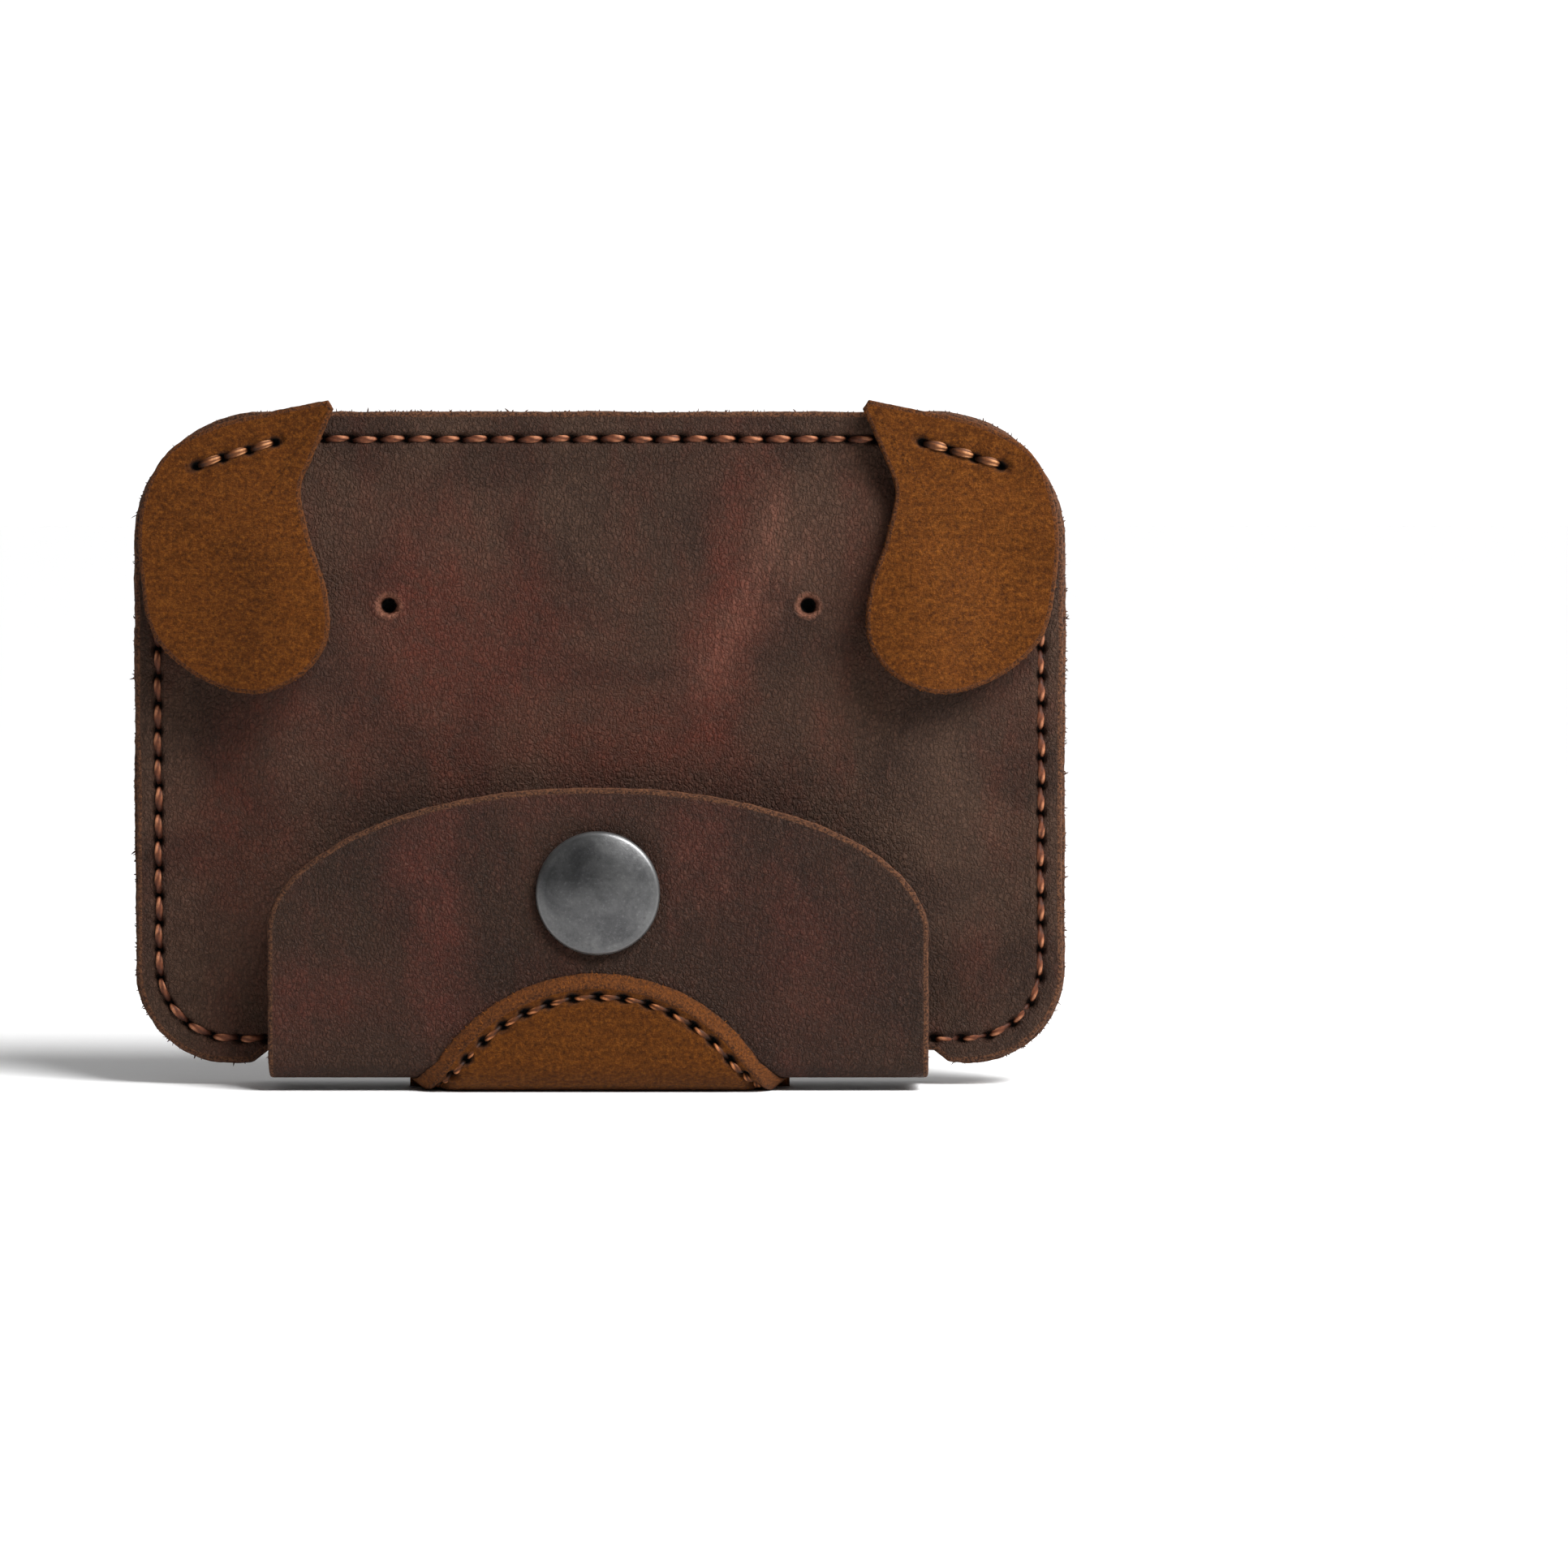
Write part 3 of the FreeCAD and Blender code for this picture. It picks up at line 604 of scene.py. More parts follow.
def metal(name, dark, light, rough_low, rough_high, wear=0.6):
    """Antique gunmetal: cloudy tarnish, fine pits, brighter worn rim."""
    m = Surface(name, Metallic=0.85, Specular_IOR_Level=0.5)
    at = m.add("TexCoord", 3)
    cloud = m.noise(at, 260.0, 4, 0.6, distort=0.5)
    pit = m.noise(at, 2600.0, 4, 0.75)
    scratch = m.noise(m.mapped(at, (1, 1, 5.0), 0.0), 1500.0, 3, 0.7)
    colour = m.layers(dark, (cloud, 0.36, 0.66, 1.0, light), (pit, 0.55, 0.75, 0.45, scaled(light, 1.9)),
                      (pit, 0.45, 0.25, 0.6, scaled(dark, 0.4)))
    worn = m.times(m.attribute("worn", "Fac"), wear)
    colour = m.mix(worn, colour, scaled(light, 2.2))
    height = m.plus(pit, m.times(scratch, 0.6))
    m.set(Base_Color=colour, Roughness=m.range(cloud, 0.3, 0.7, rough_low, rough_high),
          Normal=m.bump(height, 0.25, 0.00006))
    return m.material


HIDE_TONES = (srgb(50, 34, 26), srgb(68, 49, 38), srgb(91, 42, 31))
FLAP_TONES = (srgb(42, 27, 19), srgb(53, 35, 25), srgb(86, 40, 31))
EAR_TONES = (srgb(79, 41, 9), srgb(94, 50, 13), srgb(110, 63, 19))
PATCH_TONES = (srgb(80, 42, 9), srgb(91, 49, 12), srgb(104, 59, 17))
hide_edge = cut_edge("hide_edge", srgb(46, 27, 18), srgb(88, 56, 38), srgb(122, 80, 54))
hide_inside = flesh_side("hide_flesh", srgb(96, 66, 48), srgb(66, 44, 32))
tan_edge = cut_edge("tan_edge", srgb(52, 27, 8), srgb(78, 42, 13), srgb(120, 66, 22))
hide_fibre = fibre_material("hide_fibre", srgb(36, 20, 13), srgb(84, 50, 34))
tan_fibre = fibre_material("tan_fibre", srgb(84, 44, 14), srgb(156, 92, 36))
tan_inside = flesh_side("tan_flesh", srgb(150, 102, 60), srgb(120, 78, 42))
front_grain = dark_leather("front_grain", *HIDE_TONES, seam="seam", pitch=SEAM_PITCH, eye=True)
back_grain = dark_leather("back_grain", *HIDE_TONES, seam="seam", pitch=SEAM_PITCH)
flap_grain = dark_leather("flap_grain", *FLAP_TONES)
ear_grain = nubuck("ear_nubuck", EAR_TONES, seam="seam", pitch=EAR_PITCH)
patch_grain = nubuck("patch_nubuck", PATCH_TONES, seam="seam", pitch=RING_PITCH)
# Thread tones: the dark one is painted shade under each stitch and at its ends, the pale one a painted
# highlight on the strands.
seam_mat = thread_material("seam_thread", srgb(58, 28, 16), srgb(108, 60, 38), srgb(178, 118, 84))
ear_thread_mat = thread_material("ear_thread", srgb(50, 26, 12), srgb(110, 64, 34), srgb(206, 146, 98))
patch_thread_mat = thread_material("patch_thread", srgb(34, 17, 7), srgb(90, 48, 20), srgb(190, 120, 74))
cap_metal = metal("cap_metal", srgb(74, 74, 75), srgb(97, 97, 97), 0.32, 0.42)
snap_metal = metal("snap_metal", srgb(120, 116, 108), srgb(160, 156, 146), 0.28, 0.42)


# ---- outlines
def body_outline(inset, r_low, r_high, middle):
    """Counter-clockwise from the right end of the bottom, whose points from left to right are middle."""
    w, low, high = HALF_W - inset, BOTTOM + inset, TOP
    corners = [(w - r_low, low + r_low, r_low, -90), (w - r_high, high - r_high, r_high, 0),
               (-w + r_high, high - r_high, r_high, 90), (-w + r_low, low + r_low, r_low, 180)]
    return np.vstack([arc(x, z, r, start, start + 90) for x, z, r, start in corners] + [middle])


def dense(poly, step=0.1):
    """The closed outline with points at most a step apart, its own points kept."""
    runs = []
    for start, end in zip(poly, np.roll(poly, -1, axis=0)):
        parts = max(1, int(np.ceil(np.linalg.norm(end - start) / step)))
        runs.append(start + np.arange(parts)[:, None] / parts * (end - start))
    return np.vstack(runs)


def at_joint(b, joints):
    """How far heights b are from the nearest of the joints."""
    return np.min([np.abs(b - joint) for joint in joints], axis=0)


def hand_cut(outline, seed, size=0.09, joint=()):
    """Small unevenness of an edge cut by hand, none of it at a joint."""
    wobble = size * fbm(outline / 7, seed) + size * 0.3 * noise(outline / 0.9, seed + 9)
    if joint:
        wobble *= ramp((at_joint(outline[:, 1], joint) - 0.3) / 2)
    return outline + outline_normals(outline) * wobble[:, None]


def both_sides(left_half):
    """Points of the left half, then their mirror images back outwards to the right."""
    return np.vstack([left_half, (left_half * [-1, 1])[::-1]])


def graded(k, share_out, rings_out):
    """Ring positions, closer together near the edge."""
    inside = np.linspace(0, 1 - share_out, k - rings_out + 1)
    return np.concatenate([inside, np.linspace(1 - share_out, 1, rings_out + 1)[1:]])


# Rims of cut edges, from the outer face to the inner: (in from the outline, share of the thickness).
HIDE_RIM = [(0.55, 0.0), (0.28, 0.015), (0.10, 0.07), (0.0, 0.22), (-0.03, 0.5), (0.0, 0.78), (0.10, 0.93),
            (0.28, 0.985), (0.55, 1.0)]
EAR_RIM = [(0.50, 0.0), (0.24, 0.02), (0.07, 0.10), (0.0, 0.28), (0.0, 0.55), (0.05, 0.80), (0.16, 0.93),
           (0.30, 0.985), (0.50, 1.0)]
PATCH_RIM = [(1.75, 0.0), (1.55, -0.03), (1.38, 0.03), (1.10, 0.24), (0.70, 0.48), (0.30, 0.72),
             (0.05, 0.90), (0.15, 0.985), (0.50, 1.0)]


# ---- marks in the leather
def streak(a, b):
    """Pale creased marks that run down the panel from the top right."""
    t = np.clip((71.5 - b) / 30, 0, 1)
    line = 21.0 - 9.5 * t ** 1.15 + 0.9 * np.sin(t * 6)
    main = np.exp(-((a - line) / (1.2 + 2.2 * t)) ** 2) * ramp((72 - b) / 6) * ramp((b - 41) / 9)
    second = np.exp(-((a - line - 4.2) / 1.6) ** 2) * 0.45 * ramp((70 - b) / 9) * ramp((b - 50) / 8)
    return np.clip(main + second, 0, 1)


def blotches(spots, a, b, seed):
    """Soft patches from (a, b, half width, half height, strength) spots, with uneven edges."""
    p = np.column_stack([a, b])
    a = a + 3.0 * fbm(p / 9, seed)
    b = b + 3.0 * fbm(p / 9, seed + 7)
    total = np.zeros(len(a))
    for x, z, w, h, strength in spots:
        total += strength * np.exp(-((a - x) / w) ** 2 - ((b - z) / h) ** 2)
    return np.clip(total, 0, 1)


FRONT_RED = [(-15, 50, 14, 9, 0.75), (15, 56, 4.5, 17, 0.75), (10, 40, 10, 6, 0.5), (-22, 60, 7, 8, 0.4),
             (-42, 27, 7, 12, 0.45), (-4, 38, 12, 4, 0.4), (32, 60, 7, 8, 0.35), (-33, 41, 7, 5, 0.3)]
FLAP_RED = [(-20, 22, 4.0, 12, 0.8), (-33, 10, 7, 6, 0.6), (13, 29, 5, 9, 0.6), (-6, 34, 10, 3.5, 0.45),
            (-14, 8, 8, 4, 0.5), (25, 16, 7, 10, 0.4)]


def reddish(spots, seed, drop=0.0, mirror=1):
    return lambda a, b: blotches(spots, mirror * a, b - drop, seed)


def eye_relief(a, b):
    """Two punched eyes, each with a torn raised rim round it."""
    total = np.zeros(len(a))
    for x in (-EYE_X, EYE_X):
        away = np.hypot(a - x, b - EYE_Z)
        turn = np.arctan2(b - EYE_Z, a - x)
        rim = 0.15 + 0.07 * np.sin(turn * 2 + 1.0) + 0.04 * np.sin(turn * 5)
        total += rim * np.exp(-((away - 1.35) / 0.4) ** 2) - 1.6 * ramp((1.15 - away) / 0.45)
    return total


def eye_ring(a, b):
    return np.minimum(np.hypot(a - EYE_X, b - EYE_Z), np.hypot(a + EYE_X, b - EYE_Z))


def seam_groove(a, b):
    s, d = along_seam(a, b)
    return groove(s / SEAM_PITCH, d, SEAM_PITCH)


def front_relief(a, b):
    return undulate(a, b, 21) + seam_groove(a, b) + eye_relief(a, b) + 0.06 * streak(a, b)


def back_relief(a, b):
    return undulate(a, b, 33) * ramp((b - 6) / 6) + seam_groove(a, b)


WRINKLES = [(9.6, -35, 50, 0.9), (11.3, -20, 62, 1.0), (13.4, -40, 35, 0.7), (15.2, -8, 55, 0.8),
            (10.4, 150, 215, 0.5), (17.6, 5, 48, 0.5)]


def wrinkles(a, b):
    """Fine curved creases in the flap round the snap, mostly on its right."""
    z = b - z_to_run(0.0)
    away = np.hypot(a, z - SNAP_Z)
    turn = np.degrees(np.arctan2(z - SNAP_Z, a)) % 360
    total = np.zeros(len(a))
    for radius, first, last, height in WRINKLES:
        swing = (turn - (first + last) / 2 + 180) % 360 - 180
        inside = ramp(((last - first) / 2 - np.abs(swing)) / 12)
        line = radius + 0.5 * np.sin(np.radians(turn * 3 + radius * 40))
        total += height * inside * np.exp(-((away - line) / 0.33) ** 2)
    broken = ramp(fbm(np.column_stack([a, b]) / 1.6, 77) * 1.6 + 0.35)
    return np.clip(0.45 * total * broken, 0, 1)


def flap_relief(a, b):
    z = b - z_to_run(0.0)
    away = np.hypot(a, z - SNAP_Z)
    dent = -0.22 * ramp((8.6 - away) / 2.0) + 0.10 * np.exp(-((away - 9.2) / 1.2) ** 2)
    patch_dent = -0.05 * ramp((PATCH_R - np.hypot(a, z + HALF_BUNDLE)) / 1.5)
    free = ramp((b - 9) / 4)
    return (undulate(a, b, 45) + 0.06 * wrinkles(a, b) + dent) * free + patch_dent * free


def ring_attribute(a, b):
    """Stitch count and distance across the mouth patch's round seam, in the disc's coordinates."""
    turn = np.degrees(np.arctan2(b, a)) - 90
    return np.column_stack([turn / 360 * RING_N, np.hypot(a, b) - RING_R, np.zeros(len(a))])


def patch_relief(a, b):
    ring = ring_attribute(a, b)
    deep = 0.20 + 0.30 * ramp((10.5 - np.abs(b)) / 2.5)
    trough = -deep * np.exp(-(ring[:, 1] / 0.75) ** 2)
    phase = (ring[:, 0] - np.round(ring[:, 0])) * RING_PITCH
    pit = -0.8 * ramp((0.9 - np.hypot(phase * 0.8, ring[:, 1])) / 0.6)
    p = np.column_stack([a, b])
    quiet = ramp((np.abs(b) - 9) / 3)
    return trough + pit + (0.06 * fbm(p / 6, 61) + 0.02 * fbm(p / 1.6, 67)) * quiet


# ---- front panel
def wear(obj, body, slot_name, *nodes):
    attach(obj, body)
    if nodes:
        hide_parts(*nodes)


def bend(obj, which, slot_name, *nodes):
    """Hides the given CAD parts and bakes the piece's transform into its mesh."""
    if nodes:
        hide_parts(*nodes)
    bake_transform(obj)


# K sets a sheet's grid: 2 K by 2 K cells.
K = 150
BODY_CENTRE = (0, 40)
mouth = np.array([[-MOUTH_W - 1.7, BOTTOM + 0.4], [-MOUTH_W, MOUTH_BOTTOM + 0.4]])
front_poly = dense(body_outline(0.4, 10.6, 14.9, both_sides(mouth)))
body_corners = [(50.5, 5.5), (49, 74), (-49, 74), (-50.5, 5.5)]
front_outline = hand_cut(quarter_outline(front_poly, body_corners, 2 * K), 3)
front = sheet("front_leather", front_outline, BODY_CENTRE, HIDE_SHEET, place_front, front_relief, HIDE_RIM,
              [front_grain, hide_edge, hide_inside], graded(K, 0.12, 34), (),
              {"seam": seam_attribute, "streak": streak, "eye": eye_ring, "red": reddish(FRONT_RED, 91)})
wear(front, "pouch", "dark_leather", "front_panel")

# ---- back panel, and its tongue below it
# The tongue bends with the fold, and the corners beside it do not. So it is a piece of its own below here.
TONGUE_TOP = MOUTH_BOTTOM - 0.2
MID_BOTTOM = -z_to_run(0.0)     # the back sheet's height coordinate at the middle of the bottom
K = 110
stub = np.array([[-MOUTH_W - 1.7, BOTTOM], [-MOUTH_W, MOUTH_BOTTOM], [-FLAP_W, MOUTH_BOTTOM],
                 [-FLAP_W, TONGUE_TOP]])
back_poly = dense(body_outline(0, 11.0, 15.3, both_sides(stub)))
back_corners = [(FLAP_W, TONGUE_TOP), *body_corners[1:3], (-FLAP_W, TONGUE_TOP)]
back_outline = hand_cut(quarter_outline(back_poly, back_corners, 2 * K), 5, joint=(TONGUE_TOP,))
back_marks = {"seam": seam_attribute, "red": reddish(FRONT_RED, 95, mirror=-1)}
back = sheet("back_leather", back_outline, BODY_CENTRE, HIDE_SHEET, place_back, back_relief, HIDE_RIM,
             [back_grain, hide_edge, hide_inside], graded(K, 0.12, 24), (TONGUE_TOP,), back_marks,
             flip=True)
wear(back, "pouch", "dark_leather", "back_panel")

K = 80
tongue_corners = [(FLAP_W, MID_BOTTOM), (FLAP_W, TONGUE_TOP), (-FLAP_W, TONGUE_TOP), (-FLAP_W, MID_BOTTOM)]
tongue_outline = quarter_outline(dense(np.array(tongue_corners)), tongue_corners, 2 * K)
tongue_outline = hand_cut(tongue_outline, 6, joint=(TONGUE_TOP, MID_BOTTOM))
tongue = sheet("tongue_leather", tongue_outline, (0, (TONGUE_TOP + MID_BOTTOM) / 2), HIDE_SHEET, place_back,
               back_relief, HIDE_RIM, [back_grain, hide_edge, hide_inside], graded(K, 0.12, 24),
               (TONGUE_TOP, MID_BOTTOM), back_marks, flip=True)
bend(tongue, "back", "dark_leather")

# ---- snout flap
K = 120
rise = z_to_run(FLAP_STRAIGHT)
crown = arc(0, 0, 1, 0, 180, 181) * [FLAP_W, FLAP_RISE] + [0, rise]
flap_poly = dense(np.vstack([[[-FLAP_W, 0], [FLAP_W, 0]], crown]))
flap_corners = [(FLAP_W, 0), (29, rise + 10.5), (-29, rise + 10.5), (-FLAP_W, 0)]
flap_outline = hand_cut(quarter_outline(flap_poly, flap_corners, 2 * K), 8, joint=(0.0,))
flap = sheet("flap_leather", flap_outline, (0, 19), HIDE_SHEET, fold_point, flap_relief, HIDE_RIM,
             [flap_grain, hide_edge, hide_inside], graded(K, 0.1, 24), (0.0,),
             {"streak": wrinkles, "red": reddish(FLAP_RED, 97, z_to_run(0.0))})
bend(flap, "front", "dark_leather", "snout_flap", "flap_fold")

# ---- mouth patch
K = 84
patch_outlines = {}
half_disc = dense(arc(0, 0, PATCH_R, 0, 180, 181))
corner = PATCH_R * math.sqrt(0.5)
for side, seed, word in ((1, 12, "front"), (-1, 14, "back")):
    poly = half_disc * [1, side]
    picks = [(PATCH_R, 0), (corner, corner), (-corner, corner), (-PATCH_R, 0)]
    if side < 0:
        poly = poly[::-1]
        picks = [(corner, -corner), (PATCH_R, 0), (-PATCH_R, 0), (-corner, -corner)]
    outline = hand_cut(quarter_outline(poly, picks, 2 * K), seed, 0.06, joint=(0.0,))
    patch_outlines[word] = outline
    patch = sheet("patch_leather_" + word, outline, (0, side * 9), TAN_SHEET, place_patch, patch_relief,
                  PATCH_RIM, [patch_grain, tan_edge, tan_inside], graded(K, 0.14, 24), (0.0,),
                  {"seam": ring_attribute})
    bend(patch, word, "tan_nubuck", "patch_" + word, "patch_fold")

# ---- ears
EAR_OUTLINE = np.array([
    (-31.0, 78.9), (-33.2, 73.6), (-34.6, 69.3), (-33.6, 63.9), (-31.6, 57.6), (-31.6, 51.8),
    (-34.8, 47.7), (-40.1, 45.8), (-46.4, 47.7), (-51.5, 52.5), (-53.1, 59.6), (-53.1, 66.7),
    (-50.5, 73.3), (-44.9, 76.9), (-38.0, 78.6), (-31.6, 79.9)])
EAR_FROM, EAR_SCALE, EAR_TO = [-44.0, 50.0], [1.01, 0.988], [-43.7, 50.0]
HINGE, HINGE_Y = np.array([-42.0, 71.9]), -2.45
DOWN = np.array([math.sin(math.radians(18)), -math.cos(math.radians(18))])
seam_holes = at_length(SEAM_PATH, SEAM_STEPS, np.arange(SEAM_COUNT + 1) * SEAM_PITCH)
first_ear = int(np.argmin(np.abs(seam_holes[:SEAM_COUNT // 2] + [47.0, -72.0]).sum(axis=1)))
ear_holes = np.linspace(*EAR_LINE, 4) + [[0, 0], [0, 0.12], [0, 0.12], [0, 0]]


def smooth_curve(points, n):
    """Catmull-Rom curve through the points, open."""
    p = np.vstack([2 * points[0] - points[1], points, 2 * points[-1] - points[-2]])
    at = np.linspace(0, len(points) - 1 - 1e-9, n)
    i = np.floor(at).astype(int)
    f = (at - i)[:, None]
    a, b, c, d = p[i], p[i + 1], p[i + 2], p[i + 3]
    return 0.5 * (2 * b + (c - a) * f + (2 * a - 5 * b + 4 * c - d) * f ** 2
                  + (3 * b - a - 3 * c + d) * f ** 3)


def ear_functions(side):
    """The left (-1) or right (1) ear. It lies on the seam at its stitches, its lobe stands off the panel."""
    seed = 70 if side < 0 else 80

    def place(a, b, depth):
        x = a * -side
        below = (x - HINGE[0]) * DOWN[0] + (b - HINGE[1]) * DOWN[1]
        squared = (x[:, None] - ear_holes[:, 0]) ** 2 + (b[:, None] - ear_holes[:, 1]) ** 2
        away = np.sqrt(np.min(squared, axis=1))
        off = (0.42 - 0.37 * np.exp(-(away / 2.6) ** 2) + 0.55 * ramp(below / 6)
               + 1.25 * ramp((below - 2) / 22))
        cup = ((x + 42.5) / 10.5) ** 2 * ramp(below / 10)
        wave = 0.30 * noise(np.column_stack([x, b]) / 12, seed) * ramp(below / 6)
        y = MID_Y - HIDE - swell_front(x, b) - EAR - off + 0.30 * cup + wave
        return np.column_stack([a, np.minimum(y, MID_Y - HIDE - EAR - PANEL_GAP) + depth, b])

    def count_across(a, b):
        run = EAR_LINE[1] - EAR_LINE[0]
        off = np.column_stack([a * -side, b]) - EAR_LINE[0]
        along = off @ run / (run @ run) * 3
        across = (run[0] * off[:, 1] - run[1] * off[:, 0]) / np.linalg.norm(run)
        across = np.where((along > -0.4) & (along < 3.4), across, FAR)
        return np.column_stack([along, across, np.zeros(len(a))])

    def relief(a, b):
        along, across = count_across(a, b).T[:2]
        p = np.column_stack([a, b])
        return (0.09 * fbm(p / 8, seed + 2) + 0.02 * fbm(p / 1.7, seed + 6)
                + groove(along, across, EAR_PITCH, 0.22, 0.85))

    return place, count_across, relief


K = 96
ear_place, ear_outlines = {}, {}
for side, word in ((-1, "left"), (1, "right")):
    poly = dense((smooth_curve(EAR_OUTLINE, 400) - EAR_FROM) * EAR_SCALE + EAR_TO) * [-side, 1]
    # the drawn outline runs counter-clockwise on the left ear, clockwise once mirrored
    area = np.sum(poly[:, 0] * np.roll(poly[:, 1], -1) - poly[:, 1] * np.roll(poly[:, 0], -1))
    if area < 0:
        poly = poly[::-1]
    middle = side * 42.5
    picks = [(middle + 9, 48.5), (middle + 10, 75), (middle - 10, 75), (middle - 9, 48.5)]
    place, count_across, relief = ear_functions(side)
    ear_place[word] = place
    outline = hand_cut(quarter_outline(poly, picks, 2 * K), 20 + side, 0.07)
    ear_outlines[word] = outline
    ear = sheet("ear_leather_" + word, outline, (middle, 62), EAR_SHEET, place, relief, EAR_RIM,
                [ear_grain, tan_edge, tan_inside], graded(K, 0.12, 26), None, {"seam": count_across})
    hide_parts("ear_" + word + "_base", "ear_" + word + "_lobe")
    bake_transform(ear)


# ---- stitches
def tube_points(centre, side, up, wide, high, phi):
    """Points of tubes round centre, whose rings are wide along side and high along up (half sizes)."""
    return (centre[:, :, None, :] + side[:, :, None, :] * (wide * np.cos(phi))[..., None]
            + up[:, :, None, :] * (high * np.sin(phi))[..., None]).reshape(-1, 3)


def tube_faces(n, along, around, flip=False):
    """Faces of n closed tubes whose points are numbered ring by ring."""
    ids = np.arange(n * along * around).reshape(n, along, around)
    nxt = np.roll(ids, -1, axis=2)
    faces = np.stack([ids[:, :-1], nxt[:, :-1], nxt[:, 1:], ids[:, 1:]], axis=-1).reshape(-1, 4).tolist()
    for tube in ids:
        faces += [tube[0, ::-1].tolist(), tube[-1].tolist()]
    return [face[::-1] for face in faces] if flip else faces


def stitches(name, ends, place, surface, material, lift=0.10, half_width=0.50, half_height=0.32, plies=3,
             twist=1.4, slant=0.30, seed=1, along=22, around=22, flip=False):
    """Tubes of twisted thread between pairs of holes. ends is (n, 2, 2) hole pairs in sheet coordinates,
    and surface(a, b) is the height of the leather they lie on."""
    dice = np.random.default_rng(seed)
    n = len(ends)
    u = np.linspace(0, 1, along)
    jitter = dice.normal(0, 1, (n, 6))
    start, end = ends[:, 0], ends[:, 1]
    ahead = unit(end - start)
    across = np.column_stack([-ahead[:, 1], ahead[:, 0]])
    at = 0.07 + 0.86 * u
    flat = start[:, None, :] * (1 - at)[None, :, None] + end[:, None, :] * at[None, :, None]
    lean = (u - 0.5) * 2 * (slant + 0.04 * jitter[:, :1]) * (1 - 0.25 * np.abs(2 * u - 1) ** 3)
    flat = flat + across[:, None, :] * lean[..., None]
    flat += across[:, None, :] * (0.04 * jitter[:, 1:2] * np.ones(along))[..., None]
    dive = 0.45 * (1 - u) ** 3 + 0.75 * (1 - u) ** 14 + 1.1 * u ** 11
    rise = lift + 0.03 * jitter[:, 2:3] - dive
    a, b = flat[..., 0].ravel(), flat[..., 1].ravel()
    height = surface(a, b) + rise.ravel()
    step = 0.01
    centre = place(a, b, -height)
    above = place(a, b, -height - step)
    up = unit((above - centre) / step)
    centre = centre.reshape(n, along, 3)
    tangent = unit(np.gradient(centre, axis=1))
    side = unit(np.cross(tangent, up.reshape(n, along, 3)))
    out = np.cross(side, tangent)
    phi = np.linspace(0, 2 * math.pi, around, endpoint=False)
    leaf = 0.60 + 0.40 * np.sin(math.pi * np.clip(u, 0.02, 0.98)) ** 0.8
    spin = twist * 2 * math.pi * u + jitter[:, 3:4] * 0.8
    strand = np.abs(np.cos(0.5 * (plies * phi + spin[..., None])))
    size = (0.74 + 0.26 * strand ** 0.7) * (1 + 0.05 * jitter[:, 4])[:, None, None] * leaf[None, :, None]
    verts = tube_points(centre, side, out, size * half_width, size * half_height, phi)
    # Painted light on the thread: tone and the strand pattern make a painted highlight near one end of each
    # stitch, and shade, with cover, makes painted shade on the underside and at the ends that dive into the
    # holes.
    tone = np.exp(-((u - 0.74) / 0.20) ** 2)[None, :, None] * np.ones((n, 1, around))
    cover = ramp((u - 0.04) / 0.5) * ramp((0.98 - u) / 0.12)
    shade = (0.5 + 0.5 * np.sin(phi))[None, None, :] * cover[None, :, None]
    attributes = {"ply_highlight": (strand * (0.25 + 0.75 * tone)).ravel(),
                  "lift": (shade * (0.45 + 0.55 * strand)).ravel()}
    return add_mesh(name, verts, tube_faces(n, along, around, flip), [material], None, attributes)


def pairs(points):
    return np.stack([points[:-1], points[1:]], axis=1)


front_pairs = pairs(seam_holes)
on_ear = np.zeros(SEAM_COUNT, bool)
on_ear[first_ear:first_ear + 3] = True
on_ear |= on_ear[::-1]


def in_groove(a, b):
    return np.full(len(a), -0.18)


SEAM_THREAD = {"half_width": 0.43, "lift": 0.06}
seam_front = stitches("seam_stitches_front", front_pairs[~on_ear], place_front, in_groove, seam_mat, seed=2,
                      slant=0.12, **SEAM_THREAD)
wear(seam_front, "pouch", "thread", "seam_thread")
seam_back = stitches("seam_stitches_back", front_pairs, place_back, in_groove, seam_mat, seed=3,
                     slant=-0.12, flip=True, **SEAM_THREAD)
wear(seam_back, "pouch", "thread", "seam_thread")
for side, word in ((-1, "left"), (1, "right")):
    chosen = pairs(ear_holes) if side < 0 else pairs(ear_holes * [-1, 1])[:, ::-1]
    thread = stitches("ear_stitches_" + word, chosen, ear_place[word], in_groove, ear_thread_mat,
                      seed=5 + side, half_width=0.56, half_height=0.34, plies=6, twist=0.30, slant=0.10)
    wear(thread, "pouch", "ear_thread", "ear_" + word + "_thread")

turn = np.radians(90 + np.arange(RING_N + 1) * 360 / RING_N)
ring_pairs = pairs(RING_R * np.column_stack([np.cos(turn), np.sin(turn)]))
ring_mid = ring_pairs.mean(axis=1)[:, 1]


def sunk(a, b):
    return -0.26 - 0.26 * ramp((10.5 - np.abs(b)) / 2.5)


def place_inside(a, w, depth):
    """The flap's inner face under the patch, upside down for stitches that lie on it."""
    return fold_point(a, disc_to_run(w), HIDE - depth - 0.06)


PATCH_THREAD = {"half_width": 0.36, "half_height": 0.26, "lift": -0.02}
for word, chosen in (("front", ring_mid > -0.1), ("back", ring_mid < -0.1)):
    outer = stitches("patch_stitches_" + word, ring_pairs[chosen], place_patch, sunk, patch_thread_mat,
                     seed=9, slant=0.10, **PATCH_THREAD)
    inner = stitches("patch_stitches_inside_" + word, ring_pairs[chosen], place_inside, sunk,
                     patch_thread_mat, seed=11, slant=-0.10, flip=True, **PATCH_THREAD)
    for piece in (outer, inner):
        bend(piece, word, "patch_thread", "patch_thread_" + word, "patch_thread_fold")


